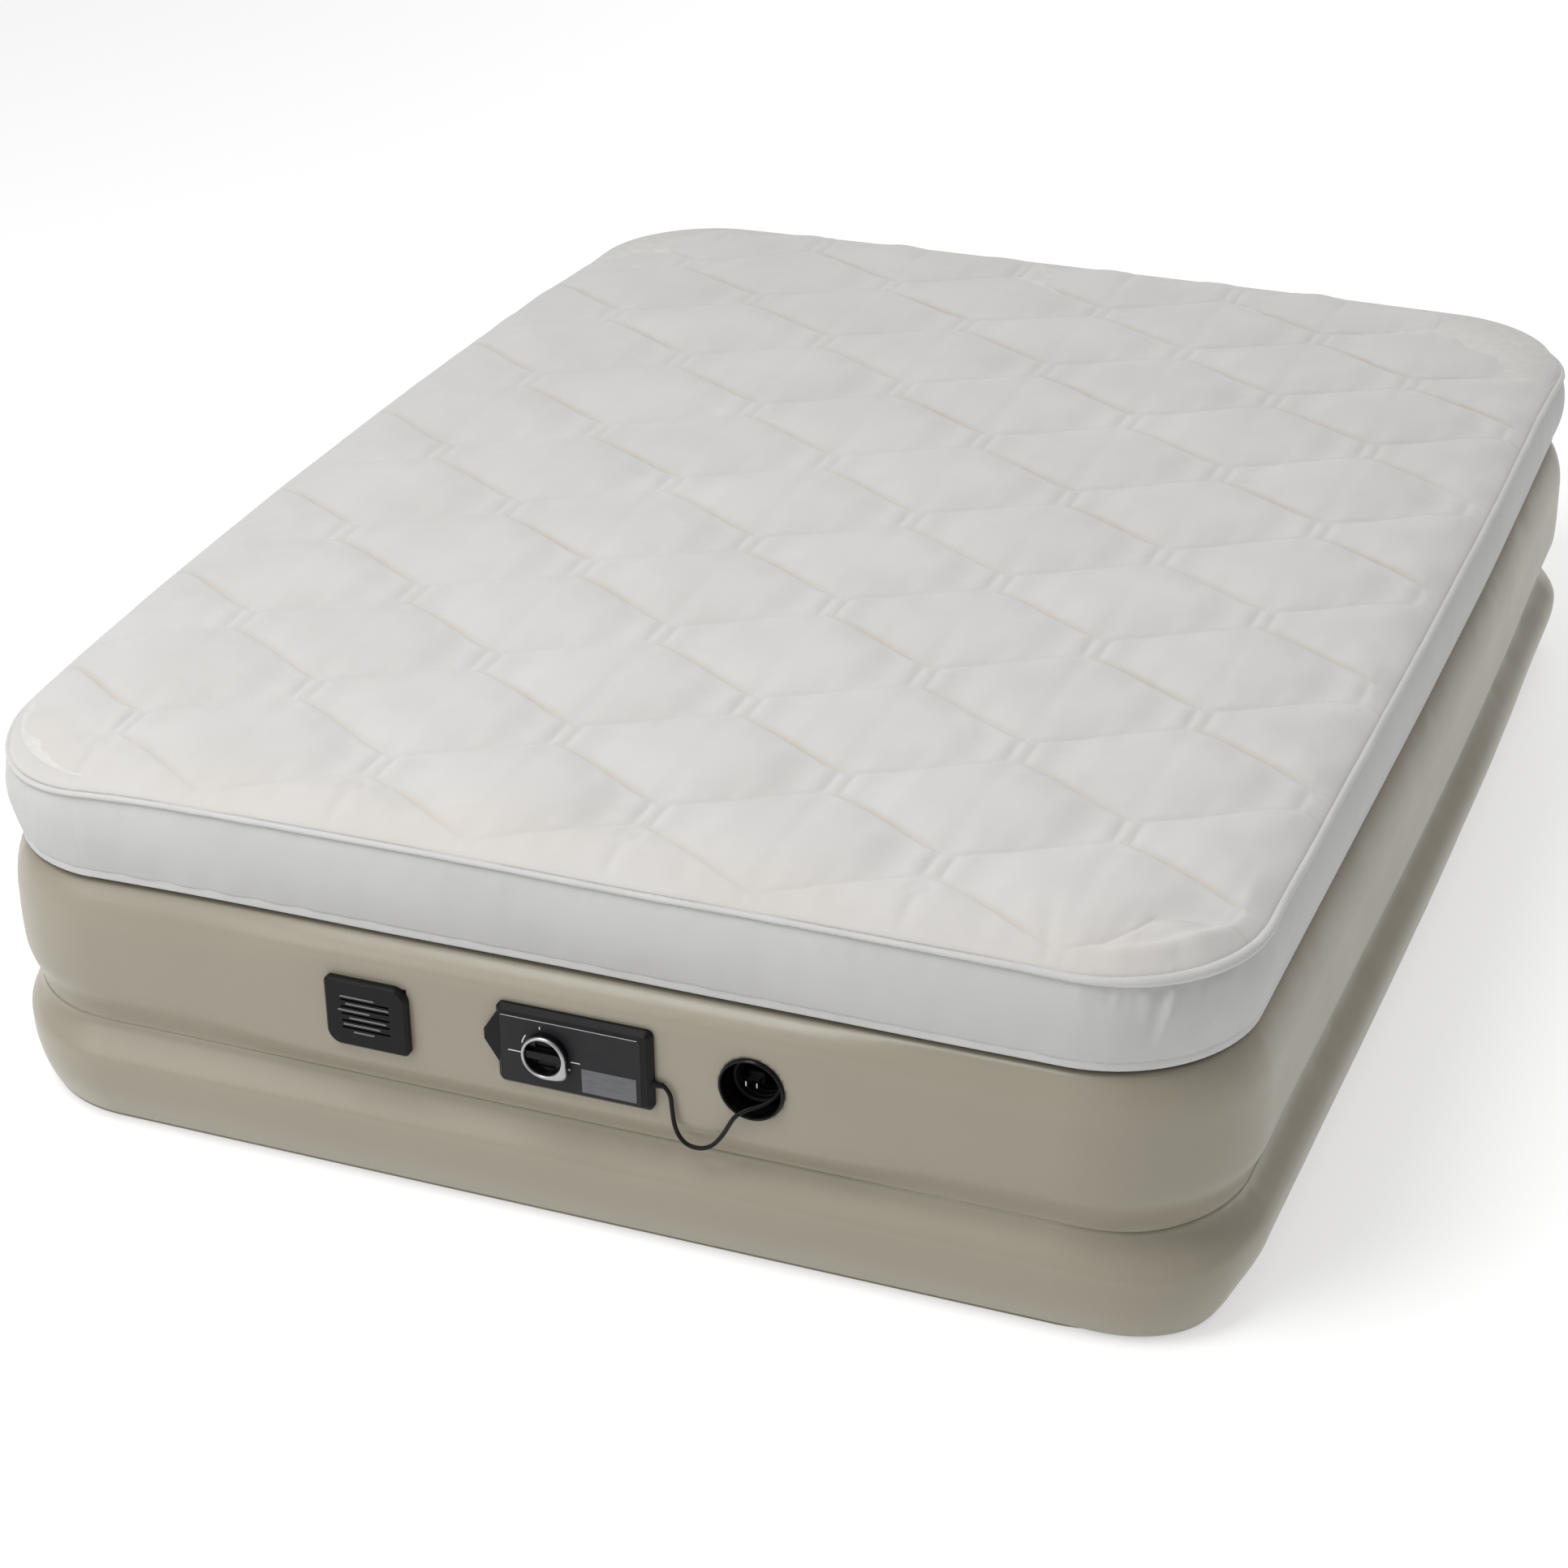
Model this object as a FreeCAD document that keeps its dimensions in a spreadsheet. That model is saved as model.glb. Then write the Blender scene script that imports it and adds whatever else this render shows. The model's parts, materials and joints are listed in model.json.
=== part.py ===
import FreeCAD, Part
import math
import os

import Sketcher

# A raised queen-size air bed with a fitted quilted pad, in millimetres.
# The origin is the centre of the footprint on the floor, +Z is up, the foot end
# with the pump controls faces -Y, and the bed's length runs along Y.

V = FreeCAD.Vector

DIMENSIONS = {
    # the inflated bed
    "BedWidth": 1524,
    "BedLength": 2032,
    "CornerRadius": 180,
    "SkinThickness": 2,
    "LowerSeamHeight": 2,
    "LowerCreaseHeight": 122,
    "UpperCreaseHeight": 326,
    "TopSeamHeight": 444,
    "LowerPinch": 12,
    "UpperPinch": 24,
    "LowerBulge": 24,
    "MiddleBulge": 27,
    # the upright air coils
    "CoilPitch": 270,
    "CoilRadius": 58,
    "CoilClearance": 2,
    # the fitted pad
    "PadGap": 0.3,
    "PadThickness": 20,
    "PadInset": 9,
    "PadEdgeRadius": 17,
    "PipingRadius": 3.5,
    "PipingInset": 5,
    "PipingHeight": 443,
    "SkirtThickness": 2.5,
    "SkirtBulge": 12,
    "SkirtTopInset": 6,
    "SkirtLowInset": 15,
    "HemRadius": 3,
    "HemInset": 18,
    "HemHeight": 333,
    # the main pump's casing
    "PanelCentreX": 40,
    "PanelCentreZ": 236,
    "PanelWidth": 186,
    "PanelHeight": 101,
    "PanelCorner": 8,
    "PanelBack": 1026,
    "PanelFront": 1036,
    "PanelBevel": 5.5,
    "PanelWall": 2.5,
    "FlangeOverlap": 3,
    "TabReach": 16,
    "TabHalfHeight": 33,
    "TabTipHalf": 6.5,
    "TabRise": 6,
    "HousingDepth": 108,
    # the dial and its valve
    "DialX": 9,
    "DialZ": 236,
    "DialRadius": 26,
    "DialDepth": 9,
    "DialGap": 0.5,
    "RingWall": 3.5,
    "RingDepth": 4,
    "GripWidth": 9,
    "GripDepth": 11,
    "DialShaftRadius": 4,
    "RunningGap": 0.05,
    "GrilleRadius": 21,
    "ValveRadius": 31,
    "ValveWall": 2.5,
    "ValveLength": 46,
    "ValveBack": 962,
    # the blower
    "MotorX": 85,
    "MotorZ": 236,
    "MotorRadius": 24,
    "MotorLength": 48,
    "MotorBack": 960,
    "RotorRadius": 17,
    "RotorLength": 34,
    "MotorShaftRadius": 2.5,
    "BearingRadius": 6,
    "BearingLength": 4,
    "ImpellerRadius": 38,
    "ImpellerBack": 926,
    "ImpellerDepth": 16,
    "BladeCount": 8,
    "VoluteRadius": 42,
    # the outlet flap at the back of the main pump
    "FlapRadius": 24,
    "OutletRadius": 19,
    "FlapThickness": 2,
    "FlapPinRadius": 1.5,
    "FlapPinHeight": 264.5,
    # the pressure-keeping pump
    "AuxX": -214,
    "AuxZ": 233,
    "AuxWidth": 102,
    "AuxHeight": 86,
    "AuxCoverFront": 1036,
    "AuxDepth": 66,
    "AuxSlots": 5,
    # the cord compartment
    "CupX": 246,
    "CupZ": 237,
    "CupRadius": 34.5,
    "CupWall": 2,
    "CupMouth": 1020,
    "CupFloor": 920,
    "RimRadius": 38,
    "RimFront": 1031,
    # the mains cord
    "CordRadius": 2.5,
    "CordCoilRadius": 28,
    "CordCoilFront": 1010,
    "CordCoilBack": 967,
    "GlandX": 144.5,
    "GlandDepth": 1030.2,
    "GlandZ": 220.6,
    "GlandWall": 1.4,
}

doc = FreeCAD.newDocument("AirBed")
sheet = doc.addObject("Spreadsheet::Sheet", "Dims")
for row, (alias, number) in enumerate(DIMENSIONS.items(), start=1):
    sheet.set("A%d" % row, alias)
    sheet.set("B%d" % row, str(number))
    sheet.setAlias("B%d" % row, alias)
doc.recompute()


class Size:
    """A number together with the spreadsheet expression that gives it."""

    def __init__(self, number, text):
        self.number = float(number)
        self.text = text

    def __add__(self, other):
        other = as_size(other)
        return Size(self.number + other.number, "(%s + %s)" % (self.text, other.text))

    def __sub__(self, other):
        other = as_size(other)
        return Size(self.number - other.number, "(%s - %s)" % (self.text, other.text))

    def __mul__(self, other):
        other = as_size(other)
        return Size(self.number * other.number, "(%s * %s)" % (self.text, other.text))

    def __truediv__(self, other):
        other = as_size(other)
        return Size(self.number / other.number, "(%s / %s)" % (self.text, other.text))

    def __neg__(self):
        return Size(-self.number, "(0 - %s)" % self.text)


def as_size(value):
    if isinstance(value, Size):
        return value
    return Size(value, "(%r)" % float(value))


def dim(alias):
    return Size(getattr(sheet, alias), "Dims." + alias)


def bind(thing, prop, value):
    thing.setExpression(prop, as_size(value).text)


# ---------------------------------------------------------------- sketch helpers


def new_body(label):
    body = doc.addObject("PartDesign::Body", label)
    body.Label = label
    return body


def sketch_on(body, role, name, offset=0):
    """A sketch on one of the body's own origin planes, moved along its normal."""
    planes = {feature.Role: feature for feature in body.Origin.OriginFeatures}
    sketch = body.newObject("Sketcher::SketchObject", name)
    sketch.AttachmentSupport = (planes[role], [""])
    sketch.MapMode = "FlatFace"
    offset = as_size(offset)
    sketch.AttachmentOffset = FreeCAD.Placement(V(0, 0, offset.number), FreeCAD.Rotation())
    bind(sketch, "AttachmentOffset.Base.z", offset)
    return sketch


def datum(sketch, kind, *where, value):
    value = as_size(value)
    index = sketch.addConstraint(Sketcher.Constraint(kind, *where, value.number))
    bind(sketch, "Constraints[%d]" % index, value)


def pin_point(sketch, curve, end, across, up):
    """Places one end of a curve by its distances from the sketch's origin."""
    datum(sketch, "DistanceX", -1, 1, curve, end, value=across)
    datum(sketch, "DistanceY", -1, 1, curve, end, value=up)


def draw_circle(sketch, across, up, radius):
    across, up, radius = as_size(across), as_size(up), as_size(radius)
    centre = V(across.number, up.number, 0)
    curve = sketch.addGeometry(Part.Circle(centre, V(0, 0, 1), radius.number))
    pin_point(sketch, curve, 3, across, up)
    datum(sketch, "Radius", curve, value=radius)


def draw_rectangle(sketch, left, right, low, high):
    left, right, low, high = as_size(left), as_size(right), as_size(low), as_size(high)
    corners = [(left, low), (right, low), (right, high), (left, high)]
    points = [V(across.number, up.number, 0) for across, up in corners]
    lines = [
        sketch.addGeometry(Part.LineSegment(points[i], points[(i + 1) % 4])) for i in range(4)
    ]
    for i, line in enumerate(lines):
        sketch.addConstraint(Sketcher.Constraint("Coincident", line, 2, lines[(i + 1) % 4], 1))
        sketch.addConstraint(Sketcher.Constraint("Vertical" if i % 2 else "Horizontal", line))
    pin_point(sketch, lines[0], 1, left, low)
    pin_point(sketch, lines[2], 1, right, high)


def draw_polygon(sketch, corners):
    """A closed outline whose corners are each placed by their own two sizes."""
    corners = [(as_size(across), as_size(up)) for across, up in corners]
    points = [V(across.number, up.number, 0) for across, up in corners]
    count = len(points)
    lines = [
        sketch.addGeometry(Part.LineSegment(points[i], points[(i + 1) % count]))
        for i in range(count)
    ]
    for i, line in enumerate(lines):
        sketch.addConstraint(
            Sketcher.Constraint("Coincident", line, 2, lines[(i + 1) % count], 1)
        )
        pin_point(sketch, line, 1, *corners[i])


def pad_up(body, sketch, name, length):
    feature = body.newObject("PartDesign::Pad", name)
    feature.Profile = sketch
    bind(feature, "Length", length)
    doc.recompute()
    return feature


def pocket(body, sketch, name, length):
    """Cuts against the sketch's normal, and makes sure that it removed something."""
    before = body.Shape.Volume
    feature = body.newObject("PartDesign::Pocket", name)
    feature.Profile = sketch
    bind(feature, "Length", length)
    doc.recompute()
    if body.Shape.Volume > before - 0.1:
        raise RuntimeError("%s cut nothing from %s" % (name, body.Label))
    return feature


def edges_along(feature, direction, test=None):
    """Names of the straight edges that run along a direction, and pass a test if given."""
    names = []
    for index, edge in enumerate(feature.Shape.Edges, start=1):
        if edge.Curve.TypeId != "Part::GeomLine":
            continue
        run = edge.Curve.Direction
        if abs(abs(run.dot(direction)) - 1) > 1e-6:
            continue
        if test is None or test(edge.CenterOfMass):
            names.append("Edge%d" % index)
    return names


def edges_at_depth(feature, depth):
    """Names of the edges that lie wholly in the plane at one depth towards the foot end."""
    names = []
    for index, edge in enumerate(feature.Shape.Edges, start=1):
        box = edge.BoundBox
        if abs(box.YMin + depth) < 1e-4 and abs(box.YMax + depth) < 1e-4:
            names.append("Edge%d" % index)
    return names


def soften(body, base, kind, name, edges, size):
    feature = body.newObject("PartDesign::" + kind, name)
    feature.Base = (base, edges)
    bind(feature, "Radius" if kind == "Fillet" else "Size", size)
    doc.recompute()
    return feature


# ------------------------------------------------------------- primitive helpers

FRONTWARD = FreeCAD.Rotation(V(1, 0, 0), 90)
SIDEWAYS = FreeCAD.Rotation(V(0, 1, 0), 90)
UPWARD = FreeCAD.Rotation()


def place(thing, turn, across, along, up):
    thing.Placement = FreeCAD.Placement(V(0, 0, 0), turn)
    bind(thing, "Placement.Base.x", across)
    bind(thing, "Placement.Base.y", along)
    bind(thing, "Placement.Base.z", up)


def cylinder(name, turn, radius, length, across, along, up):
    thing = doc.addObject("Part::Cylinder", name)
    bind(thing, "Radius", radius)
    bind(thing, "Height", length)
    place(thing, turn, across, along, up)
    return thing


def cone(name, turn, radius_start, radius_end, length, across, along, up):
    thing = doc.addObject("Part::Cone", name)
    bind(thing, "Radius1", radius_start)
    bind(thing, "Radius2", radius_end)
    bind(thing, "Height", length)
    place(thing, turn, across, along, up)
    return thing


def block(name, left, right, back, front, low, high):
    """A box between two sides, two depths towards the foot end and two heights."""
    left, right, back = as_size(left), as_size(right), as_size(back)
    front, low, high = as_size(front), as_size(low), as_size(high)
    thing = doc.addObject("Part::Box", name)
    bind(thing, "Length", right - left)
    bind(thing, "Width", front - back)
    bind(thing, "Height", high - low)
    place(thing, UPWARD, left, -front, low)
    return thing


def cut(label, base, *tools):
    """The base with each tool taken away in turn; the last result gets the label."""
    result = base
    for index, tool in enumerate(tools):
        step = doc.addObject("Part::Cut", "%s_cut%d" % (label, index))
        step.Base = result
        step.Tool = tool
        result = step
    result.Label = label
    return result


def fuse(label, *shapes):
    result = doc.addObject("Part::MultiFuse", label + "_fuse")
    result.Shapes = list(shapes)
    result.Label = label
    return result


def tube(label, outer, inner, back, front, across, up):
    """A ring or sleeve whose axis points at the foot end."""
    outer, inner, back, front = as_size(outer), as_size(inner), as_size(back), as_size(front)
    solid = cylinder(label + "_outer", FRONTWARD, outer, front - back, across, -back, up)
    bore = cylinder(label + "_bore", FRONTWARD, inner, front - back, across, -back, up)
    return cut(label, solid, bore)


# ------------------------------------------------------------------- the skins

half_width = dim("BedWidth") / 2
half_length = dim("BedLength") / 2
corner = dim("CornerRadius")
skin = dim("SkinThickness")
lower_pinch = dim("LowerPinch")
upper_pinch = dim("UpperPinch")
coil_pitch = dim("CoilPitch")
coil_columns = [coil_pitch * step for step in (-2, -1, 0, 1, 2)]
coil_rows = [coil_pitch * step for step in (-3, -2, -1, 0, 1, 2, 3)]


def draw_bed_outline(sketch):
    """The bed's plan as a closed path that starts mid-way along the foot end."""
    across, along, bend = half_width.number, half_length.number, corner.number
    turn = bend * (1 - math.sqrt(0.5))
    corners = []
    for right, back in ((1, -1), (1, 1), (-1, 1), (-1, -1)):
        on_end = V(right * (across - bend), back * along, 0)
        on_side = V(right * across, back * (along - bend), 0)
        middle = V(right * (across - turn), back * (along - turn), 0)
        if right * back < 0:
            corners.append((on_end, middle, on_side))
        else:
            corners.append((on_side, middle, on_end))
    middle_of_foot = V(0, -along, 0)
    pieces = [Part.LineSegment(middle_of_foot, corners[0][0])]
    for index, points in enumerate(corners):
        pieces.append(Part.ArcOfCircle(*points))
        onward = corners[index + 1][0] if index < 3 else middle_of_foot
        pieces.append(Part.LineSegment(points[2], onward))
    curves = [sketch.addGeometry(piece) for piece in pieces]
    for first, second in zip(curves, curves[1:]):
        sketch.addConstraint(Sketcher.Constraint("Tangent", first, 2, second, 1))
    sketch.addConstraint(Sketcher.Constraint("Coincident", curves[-1], 2, curves[0], 1))
    for index in (0, 4, 8):
        sketch.addConstraint(Sketcher.Constraint("Horizontal", curves[index]))
    for index in (2, 6):
        sketch.addConstraint(Sketcher.Constraint("Vertical", curves[index]))
    for index in (1, 3, 5, 7):
        datum(sketch, "Radius", curves[index], value=corner)
    pin_point(sketch, curves[0], 1, 0, -half_length)
    datum(sketch, "DistanceX", -1, 1, curves[2], 1, value=half_width)
    datum(sketch, "DistanceX", -1, 1, curves[6], 1, value=-half_width)
    datum(sketch, "DistanceY", -1, 1, curves[4], 1, value=half_length)


def ring_around_bed(label, draw_profile):
    """A closed ring: a profile drawn across the foot end and swept round the plan."""
    body = new_body(label)
    path = sketch_on(body, "XY_Plane", label + "_path")
    draw_bed_outline(path)
    profile = sketch_on(body, "YZ_Plane", label + "_profile")
    draw_profile(profile)
    doc.recompute()
    sweep = body.newObject("PartDesign::AdditivePipe", label + "_sweep")
    sweep.Profile = profile
    sweep.Spine = (path, ["Edge%d" % (i + 1) for i in range(len(path.Geometry))])
    doc.recompute()
    return body


def bowed_wall(low_inset, high_inset, low, high, bow, thickness):
    """Draws a wall section: two like arcs, one wall apart, joined level at both ends."""
    low_inset, high_inset, low, high = map(as_size, (low_inset, high_inset, low, high))
    bow, thickness = as_size(bow), as_size(thickness)

    def draw(sketch):
        rise = high.number - low.number
        lean = low_inset.number - high_inset.number
        chord = math.hypot(rise, lean)
        outward = V(-rise / chord, -lean / chord, 0)
        foot = V(-(half_length - low_inset).number, low.number, 0)
        head = V(-(half_length - high_inset).number, high.number, 0)
        crown = (foot + head) * 0.5 + outward * bow.number
        inward = V(thickness.number, 0, 0)
        radius = (chord * chord / 4 + bow.number ** 2) / (2 * bow.number)
        outer = sketch.addGeometry(Part.ArcOfCircle(foot, crown, head))
        inner = sketch.addGeometry(
            Part.ArcOfCircle(foot + inward, crown + inward, head + inward)
        )
        sole = sketch.addGeometry(Part.LineSegment(foot, foot + inward))
        top = sketch.addGeometry(Part.LineSegment(head, head + inward))
        foot_end, head_end = arc_ends(sketch, outer, foot)
        inner_foot_end, inner_head_end = arc_ends(sketch, inner, foot + inward)
        sketch.addConstraint(Sketcher.Constraint("Coincident", outer, foot_end, sole, 1))
        sketch.addConstraint(Sketcher.Constraint("Coincident", outer, head_end, top, 1))
        sketch.addConstraint(Sketcher.Constraint("Coincident", inner, inner_foot_end, sole, 2))
        sketch.addConstraint(Sketcher.Constraint("Coincident", inner, inner_head_end, top, 2))
        pin_point(sketch, sole, 1, -(half_length - low_inset), low)
        pin_point(sketch, sole, 2, -(half_length - low_inset) + thickness, low)
        pin_point(sketch, top, 1, -(half_length - high_inset), high)
        pin_point(sketch, top, 2, -(half_length - high_inset) + thickness, high)
        sketch.addConstraint(Sketcher.Constraint("Radius", outer, radius))
        sketch.addConstraint(Sketcher.Constraint("Equal", outer, inner))

    return draw


def arc_ends(sketch, curve, point):
    """Which end of an arc is at a point, and which is the other one."""
    start = sketch.getPoint(curve, 1)
    return (1, 2) if (start - point).Length < 1e-3 else (2, 1)


def level_sheet(label, inset, low, thickness, coil_holes=False):
    """A flat sheet of the bed's plan, with a hole for each air coil if asked."""
    body = new_body(label)
    outline = sketch_on(body, "XY_Plane", label + "_outline", low)
    reach_x, reach_y = half_width - inset, half_length - inset
    draw_rectangle(outline, -reach_x, reach_x, -reach_y, reach_y)
    slab = pad_up(body, outline, label + "_slab", thickness)
    rounded = soften(
        body, slab, "Fillet", label + "_corners", edges_along(slab, V(0, 0, 1)), corner - inset
    )
    if coil_holes:
        holes = sketch_on(body, "XY_Plane", label + "_holes", as_size(low) + thickness)
        for across in coil_columns:
            for along in coil_rows:
                draw_circle(holes, across, along, dim("CoilRadius") + dim("CoilClearance"))
        pocket(body, holes, label + "_hole_cut", thickness)
    return body, rounded


def make_skins():
    level_sheet("bottom_sheet", lower_pinch, 0, dim("LowerSeamHeight"))
    ring_around_bed(
        "lower_tier_wall",
        bowed_wall(
            lower_pinch, lower_pinch, dim("LowerSeamHeight"), dim("LowerCreaseHeight"),
            dim("LowerBulge"), skin,
        ),
    )
    level_sheet("lower_waist_sheet", lower_pinch, dim("LowerCreaseHeight"), skin, True)
    middle = ring_around_bed(
        "middle_tier_wall",
        bowed_wall(
            lower_pinch, upper_pinch, dim("LowerCreaseHeight") + skin, dim("UpperCreaseHeight"),
            dim("MiddleBulge"), skin,
        ),
    )
    cut_wall_windows(middle)
    level_sheet("upper_waist_sheet", upper_pinch, dim("UpperCreaseHeight"), skin, True)
    ring_around_bed(
        "top_tier_wall",
        lambda sketch: draw_rectangle(
            sketch,
            -(half_length - upper_pinch),
            -(half_length - upper_pinch) + skin,
            dim("UpperCreaseHeight") + skin,
            dim("TopSeamHeight"),
        ),
    )
    level_sheet("top_sheet", upper_pinch, dim("TopSeamHeight"), skin)


def cut_wall_windows(wall):
    """The windows in the foot end for the main pump, the small pump and the cord cup."""
    ahead = half_length + 50
    reach = as_size(100)
    panel = sketch_on(wall, "XZ_Plane", "panel_window", ahead)
    draw_rectangle(panel, *panel_sides(dim("FlangeOverlap")))
    pocket(wall, panel, "panel_window_cut", reach)
    small = sketch_on(wall, "XZ_Plane", "aux_window", ahead)
    draw_rectangle(small, *aux_sides(dim("FlangeOverlap")))
    pocket(wall, small, "aux_window_cut", reach)
    cup = sketch_on(wall, "XZ_Plane", "cup_window", ahead)
    draw_circle(cup, dim("CupX"), dim("CupZ"), dim("RimRadius"))
    pocket(wall, cup, "cup_window_cut", reach)


def make_air_coils():
    low = dim("LowerSeamHeight")
    for number, along in enumerate(coil_rows, start=1):
        label = "air_coil_row_%d" % number
        body = new_body(label)
        body.AllowCompound = True
        rings = sketch_on(body, "XY_Plane", label + "_rings", low)
        for across in coil_columns:
            draw_circle(rings, across, along, dim("CoilRadius"))
            draw_circle(rings, across, along, dim("CoilRadius") - skin)
        pad_up(body, rings, label + "_walls", dim("TopSeamHeight") - low)


# --------------------------------------------------------------------- the pad


def make_pad():
    low = dim("TopSeamHeight") + skin + dim("PadGap")
    body, slab = level_sheet("pad_top", dim("PadInset"), low, dim("PadThickness"))
    top = low.number + dim("PadThickness").number
    rim = [
        "Edge%d" % index
        for index, edge in enumerate(slab.Shape.Edges, start=1)
        if edge.BoundBox.ZMin > top - 1e-3
    ]
    soften(body, slab, "Fillet", "pad_top_rim", rim, dim("PadEdgeRadius"))
    ring_around_bed(
        "pad_piping",
        lambda sketch: draw_circle(
            sketch, -(half_length - dim("PipingInset")), dim("PipingHeight"), dim("PipingRadius")
        ),
    )
    ring_around_bed(
        "pad_skirt",
        bowed_wall(
            dim("SkirtLowInset"), dim("SkirtTopInset"),
            dim("HemHeight") + dim("HemRadius") + dim("PadGap"),
            dim("PipingHeight") - dim("PipingRadius") - dim("PadGap"),
            dim("SkirtBulge"), dim("SkirtThickness"),
        ),
    )
    ring_around_bed(
        "pad_hem",
        lambda sketch: draw_circle(
            sketch, -(half_length - dim("HemInset")), dim("HemHeight"), dim("HemRadius")
        ),
    )


# --------------------------------------------------------------- the main pump


def panel_sides(inset):
    reach_x = dim("PanelWidth") / 2 - inset
    reach_z = dim("PanelHeight") / 2 - inset
    centre_x, centre_z = dim("PanelCentreX"), dim("PanelCentreZ")
    return centre_x - reach_x, centre_x + reach_x, centre_z - reach_z, centre_z + reach_z


def make_pump_panel():
    """The bevelled face plate, hollow behind, with a blunt tab at its left end."""
    body = new_body("pump_panel")
    outline = sketch_on(body, "XZ_Plane", "panel_outline", dim("PanelBack"))
    draw_rectangle(outline, *panel_sides(0))
    plate = pad_up(body, outline, "panel_plate", dim("PanelFront") - dim("PanelBack"))
    corners = edges_along(plate, V(0, 1, 0))
    rounded = soften(body, plate, "Fillet", "panel_corners", corners, dim("PanelCorner"))
    soften(
        body, rounded, "Chamfer", "panel_bevel",
        edges_at_depth(rounded, dim("PanelFront").number), dim("PanelBevel"),
    )
    left = panel_sides(0)[0]
    root = dim("TabHalfHeight")
    tip = dim("TabTipHalf")
    tab_z = dim("PanelCentreZ") + dim("TabRise")
    tab = sketch_on(body, "XZ_Plane", "tab_outline", dim("PanelFront") - dim("PanelBevel") - 2)
    draw_polygon(
        tab,
        [
            (left + 1, tab_z - root),
            (left + 1, tab_z + root),
            (left - dim("TabReach"), tab_z + tip),
            (left - dim("TabReach"), tab_z - tip),
        ],
    )
    pad_up(body, tab, "tab", 3)
    hollow = sketch_on(body, "XZ_Plane", "panel_hollow", dim("PanelFront") - dim("PanelWall"))
    inset = dim("PanelBevel") + dim("PanelWall")
    draw_rectangle(hollow, *panel_sides(inset))
    pocket(body, hollow, "panel_hollow_cut", dim("PanelFront") - dim("PanelBack"))
    hole = sketch_on(body, "XZ_Plane", "grille_hole", dim("PanelFront") + 1)
    draw_circle(hole, dim("DialX"), dim("DialZ"), dim("GrilleRadius"))
    pocket(body, hole, "grille_hole_cut", dim("PanelWall") + 2)
    cord_hole = sketch_on(body, "YZ_Plane", "cord_hole", panel_sides(0)[1] + 1)
    draw_circle(
        cord_hole, -dim("GlandDepth"), dim("GlandZ"), dim("CordRadius") + dim("GlandWall")
    )
    pocket(body, cord_hole, "cord_hole_cut", inset + 2)


def make_pump_housing():
    """The box behind the panel, open to the front, with the outlet in its back wall."""
    back = dim("PanelBack") - dim("HousingDepth")
    body = new_body("pump_housing")
    outline = sketch_on(body, "XZ_Plane", "housing_outline", back)
    draw_rectangle(outline, *panel_sides(dim("FlangeOverlap")))
    box = pad_up(body, outline, "housing_box", dim("HousingDepth"))
    corners = edges_along(box, V(0, 1, 0))
    soften(body, box, "Fillet", "housing_corners", corners, dim("PanelCorner"))
    inside = sketch_on(body, "XZ_Plane", "housing_inside", dim("PanelBack"))
    draw_rectangle(inside, *panel_sides(dim("FlangeOverlap") + dim("PanelWall")))
    pocket(body, inside, "housing_inside_cut", dim("HousingDepth") - dim("PanelWall"))
    outlet = sketch_on(body, "XZ_Plane", "outlet", back + dim("PanelWall") + 1)
    draw_circle(outlet, dim("DialX"), dim("PanelCentreZ"), dim("OutletRadius"))
    pocket(body, outlet, "outlet_cut", dim("PanelWall") + 2)


def make_panel_details():
    front = dim("PanelFront")
    across, up = dim("DialX"), dim("DialZ")
    disc = cylinder(
        "grille_disc", FRONTWARD, dim("GrilleRadius"), dim("PanelWall"),
        across, -(front - dim("PanelWall")), up,
    )
    shaft_hole = cylinder(
        "grille_shaft_hole", FRONTWARD, dim("DialShaftRadius") + dim("RunningGap"), 10,
        across, -(front - 5), up,
    )
    slots = []
    for step in (-3, -2, 2, 3):
        middle = up + step * 4.2
        reach = 15 - abs(step) * 1.5
        slots.append(
            block(
                "grille_slot_%d" % (step + 3), across - reach, across + reach,
                front - 5, front + 1, middle - 1.2, middle + 1.2,
            )
        )
    cut("intake_grille", disc, shaft_hole, *slots)
    label = block("label_plate", 50, 115, front, front + 0.8, 195, 225)
    label.Label = "label_plate"
    gland_length = dim("GlandX") - (panel_sides(0)[1] - dim("PanelBevel") - dim("PanelWall"))
    relief = cone(
        "gland_body", SIDEWAYS, dim("CordRadius") + dim("GlandWall"), dim("CordRadius") + 0.6,
        gland_length,
        dim("GlandX") - gland_length, -dim("GlandDepth"), dim("GlandZ"),
    )
    relief.Label = "cord_gland"


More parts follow.
